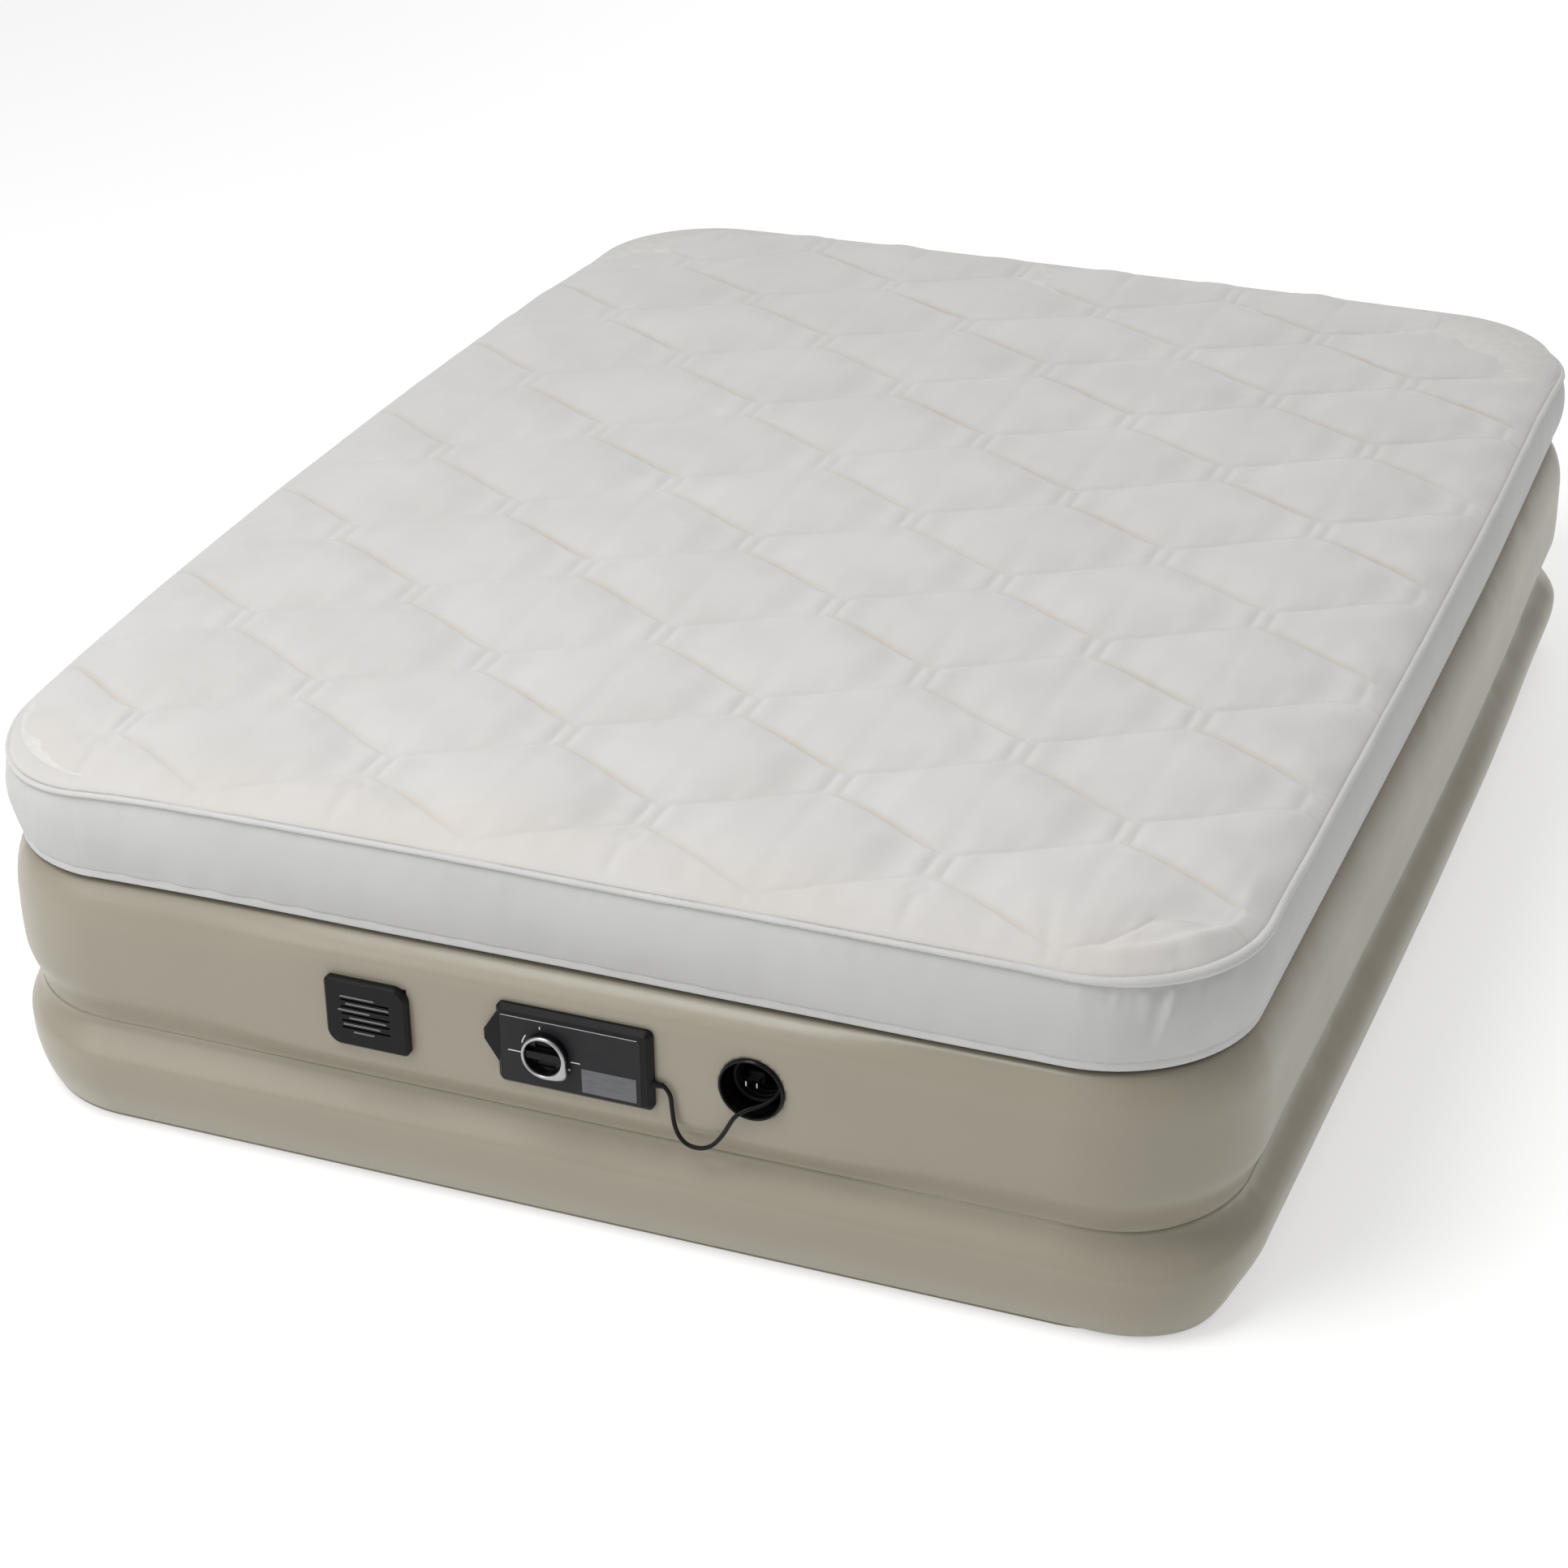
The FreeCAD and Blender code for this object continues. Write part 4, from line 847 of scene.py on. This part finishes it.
def pad_height(x, y, distance, puff, row):
    """The top of the pad: its crown over the sewn edge, its puffed cells and its soft folds."""
    edge = edge_distance(x, y)
    rise = 0.0215 * math.sqrt(1 - (1 - min(edge / 0.055, 1.0)) ** 2)
    fold = hump(abs(wrapped(x, row)) - CELL_WIDTH / 2, 0.011) * (0.6 + 0.8 * rough(x * 9, y * 9, 5.0))
    lumps = 0.0028 * rough(x * 2.4, y * 2.4, 9.0)
    wrinkles = 0.0006 * rough(x * 26, y * 34, 1.0)
    rise -= 0.008 * smooth((y - 0.55) / 0.46) * smooth(edge / 0.05)
    inner = 1 - math.exp(-edge / 0.028)
    groove = 1 - math.exp(-max(distance, 0.0) / 0.0045)
    dent = 0.0011 * hump(distance, 0.0026)
    swell = puff * mix(0.25, 1.0, groove) - 0.0016 * fold * groove - dent + lumps + wrinkles
    head_waves = math.sin(2 * math.pi * x / (CELL_WIDTH / 2) + 3 * rough(x * 2, 4.0))
    side_waves = math.sin(2 * math.pi * y / ROW_PITCH + 3 * rough(3.0, y * 2))
    scallop = 0.0042 * head_waves * smooth((y - 0.7) / 0.25)
    scallop += 0.0028 * side_waves * smooth((abs(x) - 0.6) / 0.1)
    return rise + inner * swell + corner_tuck(x, y, edge) + scallop * smooth(edge / 0.03) * hump(edge, 0.11)


def add_pad_top(cloth, backing):
    """The quilted top as one closed crowned form with its stitched honeycomb."""
    near = (0.004, 0.0075, CHANNEL_HALF, 0.013, 0.017, 0.023, 0.031, 0.041, 0.052, 0.063, 0.074, 0.0835)
    row_near = (0.0022, 0.005, 0.009, 0.014, 0.020)
    columns = quilt_columns(near, (0.0006, 0.0016, 0.0035, 0.007))
    rows = [quilt_rows(x, row_near, 9) for x in columns]
    count = len(rows[0])
    per_band = (count - 1) // (len(band_edges(0.0)) - 1)
    blown = BlownSheet()
    points = []
    groove_shade_tints = []
    edge_tints = []
    for x, column_rows in zip(columns, rows):
        edges = band_edges(x)
        for index, y in enumerate(column_rows):
            band_index = min(index // per_band, len(edges) - 2)
            row = band_index + FIRST_LINE
            low, high = edges[band_index], edges[band_index + 1]
            distance = stitch_distance(x, y, row, low, high)
            share = (y - low) / (high - low)
            puff = blown.height(x, band_index, share) if blown else plain_puff(max(distance, 0.0))
            place = round_corners(x, y, PAD_HALF_X, PAD_HALF_Y, PAD_RADIUS)
            height = seam_height(*place) + pad_height(x, y, distance, puff, row)
            points.append((*settled(*place), height))
            # painted groove shade, only beside the stitch lines that run towards the foot end's right
            groove_shade_tints.append(groove_shade_of(x, y, row, low))
            edge_tints.append(0.55 * hump(y + PAD_HALF_Y - 0.03, 0.05) * (0.5 + rough(x * 3, y * 3, 7.0)))
    faces = grid_faces(len(columns), count)
    loop = [column * count for column in range(len(columns))]
    loop += [(len(columns) - 1) * count + index for index in range(1, count)]
    loop += [column * count + count - 1 for column in range(len(columns) - 2, -1, -1)]
    loop += list(range(count - 2, 0, -1))
    ring = loop
    top_faces = len(faces)
    for inset, level in ((0.004, 0.4), (0.013, 1.0), (0.12, 1.0)):
        lower = []
        for index in loop:
            x, y, z = points[index]
            lower.append(len(points))
            shrunk = (x * (1 - inset / PAD_HALF_X), y * (1 - inset / PAD_HALF_Y))
            points.append((*shrunk, mix(z, PAD_FLOOR, level)))
        for index in range(len(loop)):
            after = (index + 1) % len(loop)
            faces.append((ring[after], ring[index], lower[index], lower[after]))
        ring = lower
    faces.append(tuple(reversed(ring)))
    pad = piece("quilted_top", points, faces, cloth, "pad", ("pad_top",))
    pad.data.materials.append(backing)
    for polygon in pad.data.polygons[top_faces + 2 * len(loop):]:
        polygon.material_index = 1
    for name, values in (("groove_shade_tint", groove_shade_tints), ("edge_tint", edge_tints)):
        attribute = pad.data.attributes.new(name, "FLOAT", "POINT")
        padding = [0.0] * (len(points) - len(values))
        attribute.data.foreach_set("value", [min(1.0, max(0.0, value)) for value in values + padding])
    return pad


def groove_shade_of(x, y, row, low):
    """Painted warm shade: the band just up the bed from the stitch lines that run towards the foot end's
    right, where the groove slopes fall into shade.
    """
    if row <= FIRST_LINE or wrapped(x, row - 1) > -0.004:
        return 0.0
    above = (y - low) * STITCH_SLOPE
    along = 1 - hump(abs(wrapped(x, row - 1)) - CELL_WIDTH / 4, 0.055)
    uneven = 0.65 + 0.5 * rough(x * 5, y * 5, 2.0)
    return 0.85 * uneven * (1 - 0.6 * along) * smooth(1 - above / 0.011)


def add_piping(cloth):
    """The corded edge between the quilted top and the skirt, thickest at the foot's right corner."""
    def shape(station, angle):
        place = station.place
        near = hump(math.hypot(place.x - HALF_WIDTH, place.y + HALF_LENGTH), 0.2)
        gathers = 0.00022 * math.sin(station.run * 2 * math.pi / 0.011)
        gathers += 0.0004 * rough(station.run * 30, 0, 4.0)
        side = smooth(station.out.x)
        radius = 0.0034 + 0.0016 * side + 0.0022 * near + gathers
        height = seam_height(place.x, place.y) + 0.0005
        sway = 0.0016 * side * rough(station.run * 9, 3.0, 27.0)
        return sway - 0.0050 + radius * math.cos(angle), height + radius * math.sin(angle)

    points, faces = roll(outline(0.0055, 60), 12, shape)
    faces = [face[::-1] for face in faces]
    return piece("edge_piping", points, faces, cloth, "pad", ("pad_piping",))


SKIRT_LOW = 0.3400
HEM_MIDDLE = 0.3360
HEM_OUT = -0.0095


def skirt_shape(station, share):
    """The skirt from its hem (share 0) up to the piping (share 1)."""
    x, y = station.place.x, station.place.y
    top = seam_height(x, y) - 0.001
    height = mix(SKIRT_LOW - left_foot_sag(x, y), top, share)
    swell = math.sin(math.pi * share) ** 0.8
    offset = mix(HEM_OUT, -0.0062, smooth(share)) + 0.0098 * swell
    drape = rough(station.run * 3.2, share * 1.2, 11.0) * 0.0026
    pleats = rough(station.run * 34, share * 2.0, 6.0)
    gathers = rough(station.run * 70, share * 3.0, 8.0)
    strength = 0.0005 + 0.0022 * station.corner
    pulled = (1 - share) ** 2 * 0.0016 * pleats
    under_piping = share ** 3 * min(1.0, (1 - share) * 12)
    offset += swell * (drape + strength * pleats) + under_piping * strength * 1.6 * gathers + pulled
    return offset + corner_fold(station, share), height


def corner_fold(station, share):
    """The soft upright folds at the foot's right corner, and the gathers that lead into them."""
    turn = math.degrees(math.atan2(station.out.y, station.out.x)) + 6.0 * (1 - share)
    ridge = hump(turn + 52, 1.8) - 0.8 * hump(turn + 55.5, 2.4) + 0.5 * hump(turn + 34, 3.4)
    pinches = hump(turn + 72, 16) * rough(station.run * 95, share * 2, 15.0) * share ** 4
    return (0.0042 * ridge * smooth(share * 1.6) + 0.006 * pinches) * min(1.0, (1 - share) * 9)


def add_skirt(cloth):
    points, faces = band(outline(0.007, 64), 26, skirt_shape)
    skirt = piece("side_skirt", points, faces, cloth, "pad", ("pad_skirt",))
    thicken(skirt, 0.0016)
    return skirt


def add_hem(cloth):
    """The folded elastic casing along the skirt's lower edge."""
    def shape(station, angle):
        ripple = 0.00025 * math.sin(station.run * 2 * math.pi / 0.013 + 2 * rough(station.run * 5, 0, 2.0))
        across = math.copysign(abs(math.cos(angle)) ** 0.7, math.cos(angle))
        upward = math.copysign(abs(math.sin(angle)) ** 0.7, math.sin(angle))
        sag = left_foot_sag(station.place.x, station.place.y)
        level = HEM_MIDDLE - sag + 0.0012 * rough(station.run * 4, 0, 13.0)
        return HEM_OUT - 0.0026 + (0.0027 + ripple) * across, level + 0.0066 * upward

    points, faces = roll(outline(0.0045, 70), 14, shape)
    faces = [face[::-1] for face in faces]
    return piece("elastic_hem", points, faces, cloth, "pad", ("pad_hem",))


# ------------------------------------------------------------------ inflated walls
def side_bow(station):
    """How the inflated sides bow out between the corners; the foot end is held flat by its panels."""
    x, y = station.place.x, station.place.y
    if station.out.y < -0.7:
        return 0.0
    if station.out.y > 0.7:
        return 0.007 * math.cos(math.pi * x / 2 / HALF_WIDTH) ** 2
    return 0.004 * math.cos(math.pi * y / 2 / HALF_LENGTH) ** 2


def pucker(station, from_seam, seed):
    """Small creases that run out of a welded seam, deeper round the corners."""
    fine = rough(station.run * 55, from_seam * 20, seed)
    broad = rough(station.run * 17, from_seam * 8, seed + 3)
    depth = 0.0004 + 0.0022 * smooth(station.out.x) + 0.0024 * station.corner
    return (0.6 * fine + 0.8 * broad) * depth * math.exp(-from_seam / 0.022) * smooth(from_seam / 0.009)


CONTROLS_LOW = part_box("aux_cover")[0]
CONTROLS_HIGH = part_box("cup_rim")[1]


def flatness(x, z):
    """1 along the flat strip that the foot end's fittings are welded to, 0 well away from it."""
    out_x = max(CONTROLS_LOW[0] - 0.012 - x, x - CONTROLS_HIGH[0] - 0.012, 0.0)
    below = max(CONTROLS_LOW[2] - 0.006 - z, 0.0)
    above = max(z - CONTROLS_HIGH[2] - 0.014, 0.0)
    return (1 - smooth(out_x / 0.17)) * (1 - smooth(below / 0.05)) * (1 - smooth(above / 0.038))


def crease_rise(station):
    """How much higher the lower crease stands at the foot end and left side than at the right."""
    return 0.011 * (1 - 0.8 * smooth((station.out.x + 0.1) / 0.8)) * (1 - 0.6 * smooth(station.out.y))


def crease_inset(station):
    """The lower crease is shallow along the foot end and deeper along the sides."""
    return mix(LOWER_PINCH, FOOT_CREASE, smooth((-station.out.y - 0.2) / 0.7))


def left_side(station):
    return smooth(-station.out.x) * smooth((0.9 - station.place.y) / 1.4)


def middle_shape(station, share):
    seam = MIDDLE_LOW + crease_rise(station)
    top = MIDDLE_TOP + 0.0006 - left_foot_sag(station.place.x, station.place.y)
    height = mix(seam - 0.004, top, share)
    from_low = max(0.0, height - seam)
    from_top = top - height
    rolled = math.sin(math.pi / 2 * min(1.0, from_top / 0.065)) ** 0.5
    swell = mix(smooth(from_low / 0.055), math.sqrt(smooth(from_low / 0.09)), 0.35) * rolled
    inset = mix(crease_inset(station) - 0.0003, UPPER_PINCH, smooth(share * 1.2 - 0.2))
    offset = mix(inset, MIDDLE_PEAK + side_bow(station) - 0.004 * left_side(station), swell)
    creases = pucker(station, min(from_low, from_top), 21.0)
    offset += creases + 0.0009 * swell * rough(station.run * 5, share * 2, 31.0)
    if station.out.y < -0.999:
        offset = mix(offset, WALL_BEHIND_PANEL, flatness(station.place.x, height))
    return offset, height


def lower_shape(station, share):
    top = LOWER_TOP + 0.0006 + crease_rise(station)
    height = mix(0.0016, top, share)
    from_top = top - height
    from_low = height - 0.0016
    swell = smooth(from_top / 0.046) * math.sin(math.pi / 2 * min(1.0, from_low / 0.075)) ** 0.8
    right = smooth((station.out.x + 0.2) / 0.6) * smooth(-station.out.y * 1.5)
    square = 0.022 * station.corner * right * (1 - share) ** 0.8
    peak = LOWER_PEAK + side_bow(station) * 0.9 - 0.010 * left_side(station)
    offset = mix(mix(LOWER_PINCH, crease_inset(station), share), peak, swell) + square
    offset += pucker(station, from_top, 41.0) + pucker(station, from_low, 51.0)
    offset += 0.0012 * swell * rough(station.run * 4, share * 2, 61.0)
    return offset, height


def top_shape(station, share):
    height = mix(TOP_LOW - 0.0006 - left_foot_sag(station.place.x, station.place.y), TOP_TOP, share)
    swell = math.sin(math.pi * share)
    return UPPER_PINCH - 0.001 + 0.0016 * swell + 0.3 * pucker(station, share * 0.1, 71.0), height


def cut_round_hole(points, faces, centre, radius, cell):
    """Pull the grid's points on to a circle and drop the faces inside it."""
    def reach(index):
        x, y, z = points[index]
        return math.hypot(x - centre[0], z - centre[1]) if y < FOOT_END else 1.0

    def snap(index):
        x, y, z = points[index]
        scale = radius / reach(index)
        points[index] = (mix(centre[0], x, scale), y, mix(centre[1], z, scale))

    for index in range(len(points)):
        if abs(reach(index) - radius) < cell * 0.55:
            snap(index)
    kept = [face for face in faces if max(reach(index) for index in face) > radius + 1e-5]
    for face in kept:
        for index in face:
            if reach(index) < radius - 1e-5:
                snap(index)
    return points, kept


def cut_window(points, faces, node, margin):
    """Drop the faces well inside a fitting's outline, where its housing passes through the wall."""
    low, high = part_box(node)

    def inside(index):
        x, y, z = points[index]
        within_x = low[0] + margin < x < high[0] - margin
        within_z = low[2] + margin < z < high[2] - margin
        return y < FOOT_END and within_x and within_z

    return points, [face for face in faces if not all(inside(index) for index in face)]


def add_walls(wall_vinyl):
    cell = 0.0042
    points, faces = band(outline(0.015, 44), 30, lower_shape)
    lower = piece("lower_tier_band", points, faces, wall_vinyl, "bed", ("lower_tier_wall",))
    points, faces = band(outline(0.015, 44, (-0.33, 0.36), cell), 48, middle_shape)
    points, faces = cut_round_hole(points, faces, COIL_CENTRE, CUP_HOLE_RADIUS, cell)
    points, faces = cut_window(points, faces, "pump_housing", 0.001)
    points, faces = cut_window(points, faces, "aux_housing", 0.001)
    middle = piece("middle_tier_band", points, faces, wall_vinyl, "bed", ("middle_tier_wall",))
    points, faces = band(outline(0.015, 44), 14, top_shape)
    top = piece("top_tier_band", points, faces, wall_vinyl, "bed", ("top_tier_wall",))
    for wall, width in ((lower, 0.135), (middle, 0.215), (top, 0.117)):
        thicken(wall, SKIN)


COIL_PITCH = 0.27


def from_coil(x, y):
    """Distance from the axis of the nearest air coil."""
    across = (x + COIL_PITCH / 2) % COIL_PITCH - COIL_PITCH / 2
    along = (y + COIL_PITCH / 2) % COIL_PITCH - COIL_PITCH / 2
    return math.hypot(across, along)


def skin_sheet(inset, step, level):
    """A flat skin inside the outline, with the height of each point from level(x, y, distance from edge)."""
    half_x = HALF_WIDTH - inset
    half_y = HALF_LENGTH - inset
    columns = even_steps(-half_x, half_x, step) + [half_x]
    rows = even_steps(-half_y, half_y, step) + [half_y]
    points = []
    for x in columns:
        for y in rows:
            edge = min(half_x - abs(x), half_y - abs(y))
            place = round_corners(x, y, half_x, half_y, CORNER_RADIUS - inset)
            points.append((*settled(*place), level(*place, edge)))
    return points, grid_faces(len(columns), len(rows))


def add_flat_skins(flock, wall_vinyl, waist_vinyl):
    """The flocked top skin with its coil wells, the underside with its own, and the sheets between tiers."""
    def top_level(x, y, edge):
        well = 1 - smooth((from_coil(x, y) - 0.030) / 0.035)
        return 0.4452 + 0.0022 * smooth(edge / 0.05) - 0.0036 * well + 0.0005 * rough(x * 12, y * 12, 17.0)

    def low_level(x, y, edge):
        well = 1 - smooth((from_coil(x, y) - 0.030) / 0.04)
        return 0.0004 + (0.006 * well + 0.0004) * smooth(edge / 0.06)

    points, faces = skin_sheet(-UPPER_PINCH + 0.0008, 0.0135, top_level)
    top = piece("flocked_top_skin", points, faces, flock, "bed", ("top_sheet",))
    thicken(top, SKIN)
    points, faces = skin_sheet(-LOWER_PINCH - 0.0006, 0.0135, low_level)
    faces = [face[::-1] for face in faces]
    low = piece("underside_skin", points, faces, wall_vinyl, "bed", ("bottom_sheet",))
    thicken(low, SKIN)
    for name, inset in (("lower_waist", LOWER_WAIST_INSET), ("upper_waist", UPPER_WAIST_INSET)):
        node = name + "_sheet"
        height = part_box(node)[1][2]
        points, faces = skin_sheet(inset, 0.027, lambda x, y, edge: height)
        waist = piece(name, points, faces, waist_vinyl, "bed", (node,))
        thicken(waist, SKIN)


# ------------------------------------------------------------------ controls
DIAL_CENTRE = (0.009, 0.236)


def add_panel_face(charcoal, edge_highlight_finish):
    low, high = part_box("pump_panel")
    left, right = -0.0465, high[0] - 0.0125
    bottom, top = low[2] + 0.0065, high[2] - 0.0125
    shape = rounded_rectangle(left, right, bottom, top, 0.003)
    points, faces = plate(shape, PANEL_FRONT + 0.0004, PANEL_FRONT - 0.0003)
    face = piece("panel_face", points, faces, charcoal, "bed", smooth_shaded=False)
    # painted highlight: a thin silver strip along the face's top edge, where its bevel catches the light
    strip = rounded_rectangle(left + 0.001, right - 0.003, top + 0.0004, top + 0.0013, 0.0004, 2)
    points, faces = plate(strip, PANEL_FRONT + 0.0004, PANEL_FRONT - 0.0005)
    line = piece("panel_edge_highlight", points, faces, edge_highlight_finish, "bed", smooth_shaded=False)
    return face, line


def add_marks(paint):
    """The dial's plain pointer marks: two ticks, an arc and a short mark, with a white dot at the lower right
    that is a painted reflection of the silver ring.
    """
    x, z = DIAL_CENTRE
    back, front = PANEL_FRONT - 0.0001, PANEL_FRONT - 0.00045
    # painted reflection: a small white dot on the panel below the ring's lower right
    glint_way = math.radians(-31)
    glint_x, glint_z = x + 0.0305 * math.cos(glint_way), z + 0.0305 * math.sin(glint_way)
    glint_turns = [2 * math.pi * k / 20 for k in range(20)]
    outlines = [
        rounded_rectangle(x - 0.047, x - 0.0285, z - 0.0058, z - 0.0046, 0.0005, 2),
        rounded_rectangle(x + 0.0285, x + 0.0395, z - 0.0058, z - 0.0046, 0.0005, 2),
        [(glint_x + 0.0014 * math.cos(b), glint_z + 0.0014 * math.sin(b)) for b in glint_turns],
        rounded_rectangle(x - 0.0080, x - 0.0067, z + 0.0285, z + 0.0325, 0.0005, 2),
    ]
    outer = [math.radians(mix(144, 166, k / 8)) for k in range(9)]
    arc = [(x + 0.0312 * math.cos(a), z + 0.0312 * math.sin(a)) for a in outer]
    arc += [(x + 0.0299 * math.cos(a), z + 0.0299 * math.sin(a)) for a in reversed(outer)]
    outlines.append(arc)
    points, faces = plates(outlines, back, front)
    return piece("dial_marks", points, faces, paint, "bed", smooth_shaded=False)


def add_dial_ring(silver):
    """The silver ring on the dial, flared wider and forward at the lower right."""
    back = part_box("dial_ring")[1][1]
    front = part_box("dial_ring")[0][1]
    profile = [
        (0.0225, back), (0.0223, mix(back, front, 0.6)), (0.0229, front + 0.0004), (0.0239, front),
        (0.0250, front + 0.0003), (0.0259, front + 0.0014), (0.0262, mix(back, front, 0.35)),
        (0.0262, back + 0.0006),
    ]

    def flare(angle, radius, depth):
        turn = (angle + math.radians(48) + math.pi) % (2 * math.pi) - math.pi
        reach = hump(turn, math.radians(21)) + 0.25 * hump(turn, math.radians(48))
        outward = max(0.0, (radius - 0.0239) / 0.0023)
        return radius + 0.0068 * reach * outward, depth + 0.0034 * reach * outward ** 2

    points, faces = lathe(DIAL_CENTRE, profile, 120, flare)
    return piece("dial_bezel", points, faces, silver, "dial", ("dial_ring",))


def add_cup_rim(gloss):
    """The rounded rim of the cord compartment."""
    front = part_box("cup_rim")[0][1]
    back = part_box("cup_rim")[1][1]
    profile = [
        (0.0345, back), (0.0344, front + 0.0035), (0.0350, front + 0.0012), (0.0361, front + 0.0001),
        (0.0372, front + 0.0008), (0.0380, front + 0.0028), (0.0384, front + 0.006), (0.0384, back + 0.0012),
    ]
    points, faces = lathe(COIL_CENTRE, profile, 96)
    return piece("compartment_rim", points, faces, gloss, "bed", ("cup_rim",))


def add_aux_streaks(paint):
    """Raised bars between the square cover's slots, coloured light grey as a painted highlight along the
    louvres.
    """
    low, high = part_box("aux_cover")
    middle = (low[0] + high[0]) / 2
    centre = (low[2] + high[2]) / 2
    top_bar, bar_pitch, half_bar = 0.0225, 0.009, 0.0009
    lengths = (
        (-0.030, 0.012), (-0.024, 0.030), (-0.034, 0.006),
        (-0.020, 0.026), (-0.028, 0.018), (-0.016, 0.010),
    )
    bars = []
    for index, (start, end) in enumerate(lengths):
        z = centre + top_bar - index * bar_pitch
        bars.append(rounded_rectangle(middle + start, middle + end, z - half_bar, z + half_bar, 0.0008, 3))
    points, faces = plates(bars, low[1] + 0.0004, low[1] - 0.0007)
    return piece("cover_highlight_bars", points, faces, paint, "bed", smooth_shaded=False)


# ------------------------------------------------------------------ carried-over parts
def slot_finishes():
    """One finish for each material slot of the record."""
    return {
        "vinyl": vinyl("taupe_vinyl", (0.300, 0.271, 0.212), 0.27, 0.38),
        "waist_vinyl": vinyl("inner_vinyl", (0.40, 0.385, 0.34), 0.40, 0.55),
        "flocked_vinyl": flocked(),
        "pad_quilting": quilt_cloth(),
        "pad_cloth": skirt_cloth(),
        "piping": piping_cloth(),
        "elastic": hem_elastic(),
        "black_plastic": plastic("black_plastic", (0.006, 0.006, 0.0065), 0.24, 0.36),
        "gloss_black": plastic("gloss_black", (0.004, 0.004, 0.0045), 0.14, 0.26, 2200.0, 0.02, 0.08),
        "silver_plastic": metal("silver_plastic", (0.42, 0.42, 0.425), 0.28, 0.44),
        "grey_label": label_card(),
        "grey_plastic": plastic("grey_plastic", (0.10, 0.10, 0.105), 0.42, 0.58),
        "cord_rubber": rubber("cord_rubber", (0.007, 0.007, 0.0065), 0.38, 0.55),
        "steel": metal("steel", (0.56, 0.57, 0.58), 0.22, 0.38, (1, 8, 1)),
        "brass": metal("brass", (0.78, 0.57, 0.22), 0.20, 0.34),
        "copper_wire": metal("copper_wire", (0.72, 0.30, 0.12), 0.25, 0.40, (1, 1, 12)),
        "soft_rubber": rubber("soft_rubber", (0.045, 0.042, 0.04), 0.6, 0.78),
        "board": circuit_board(),
    }


def paint_nodes(finishes):
    """Give every CAD node the finish of its material slot."""
    for part in frame["record"]["subparts"]:
        node = frame["nodes"][part["node"]]
        finish = finishes[part["material_slot"]]
        if not node.material_slots:
            node.data.materials.append(finish)
        for slot in node.material_slots:
            slot.material = finish
    for slot in frame["nodes"]["plug_blades"].material_slots:
        slot.material = finishes["steel"]


# ------------------------------------------------------------------ the bed
add_camera()
add_studio()
finishes = slot_finishes()
lead = add_cord(finishes["cord_rubber"])
relief = add_strain_relief(finishes["cord_rubber"])
add_pad_top(finishes["pad_quilting"], backing_cloth())
add_piping(finishes["piping"])
add_walls(finishes["vinyl"])
add_skirt(finishes["pad_cloth"])
add_hem(finishes["elastic"])
add_flat_skins(finishes["flocked_vinyl"], finishes["vinyl"], finishes["waist_vinyl"])
charcoal = plastic("charcoal_face", (0.019, 0.019, 0.021), 0.36, 0.50)
add_panel_face(charcoal, finishes["silver_plastic"])
add_marks(plastic("white_mark", (0.70, 0.70, 0.70), 0.45, 0.6))
add_dial_ring(finishes["silver_plastic"])
add_cup_rim(finishes["gloss_black"])
# the light grey of the cover's raised bars is painted highlight
add_aux_streaks(plastic("grey_highlight_bar", (0.17, 0.17, 0.175), 0.4, 0.55))
paint_nodes(finishes)
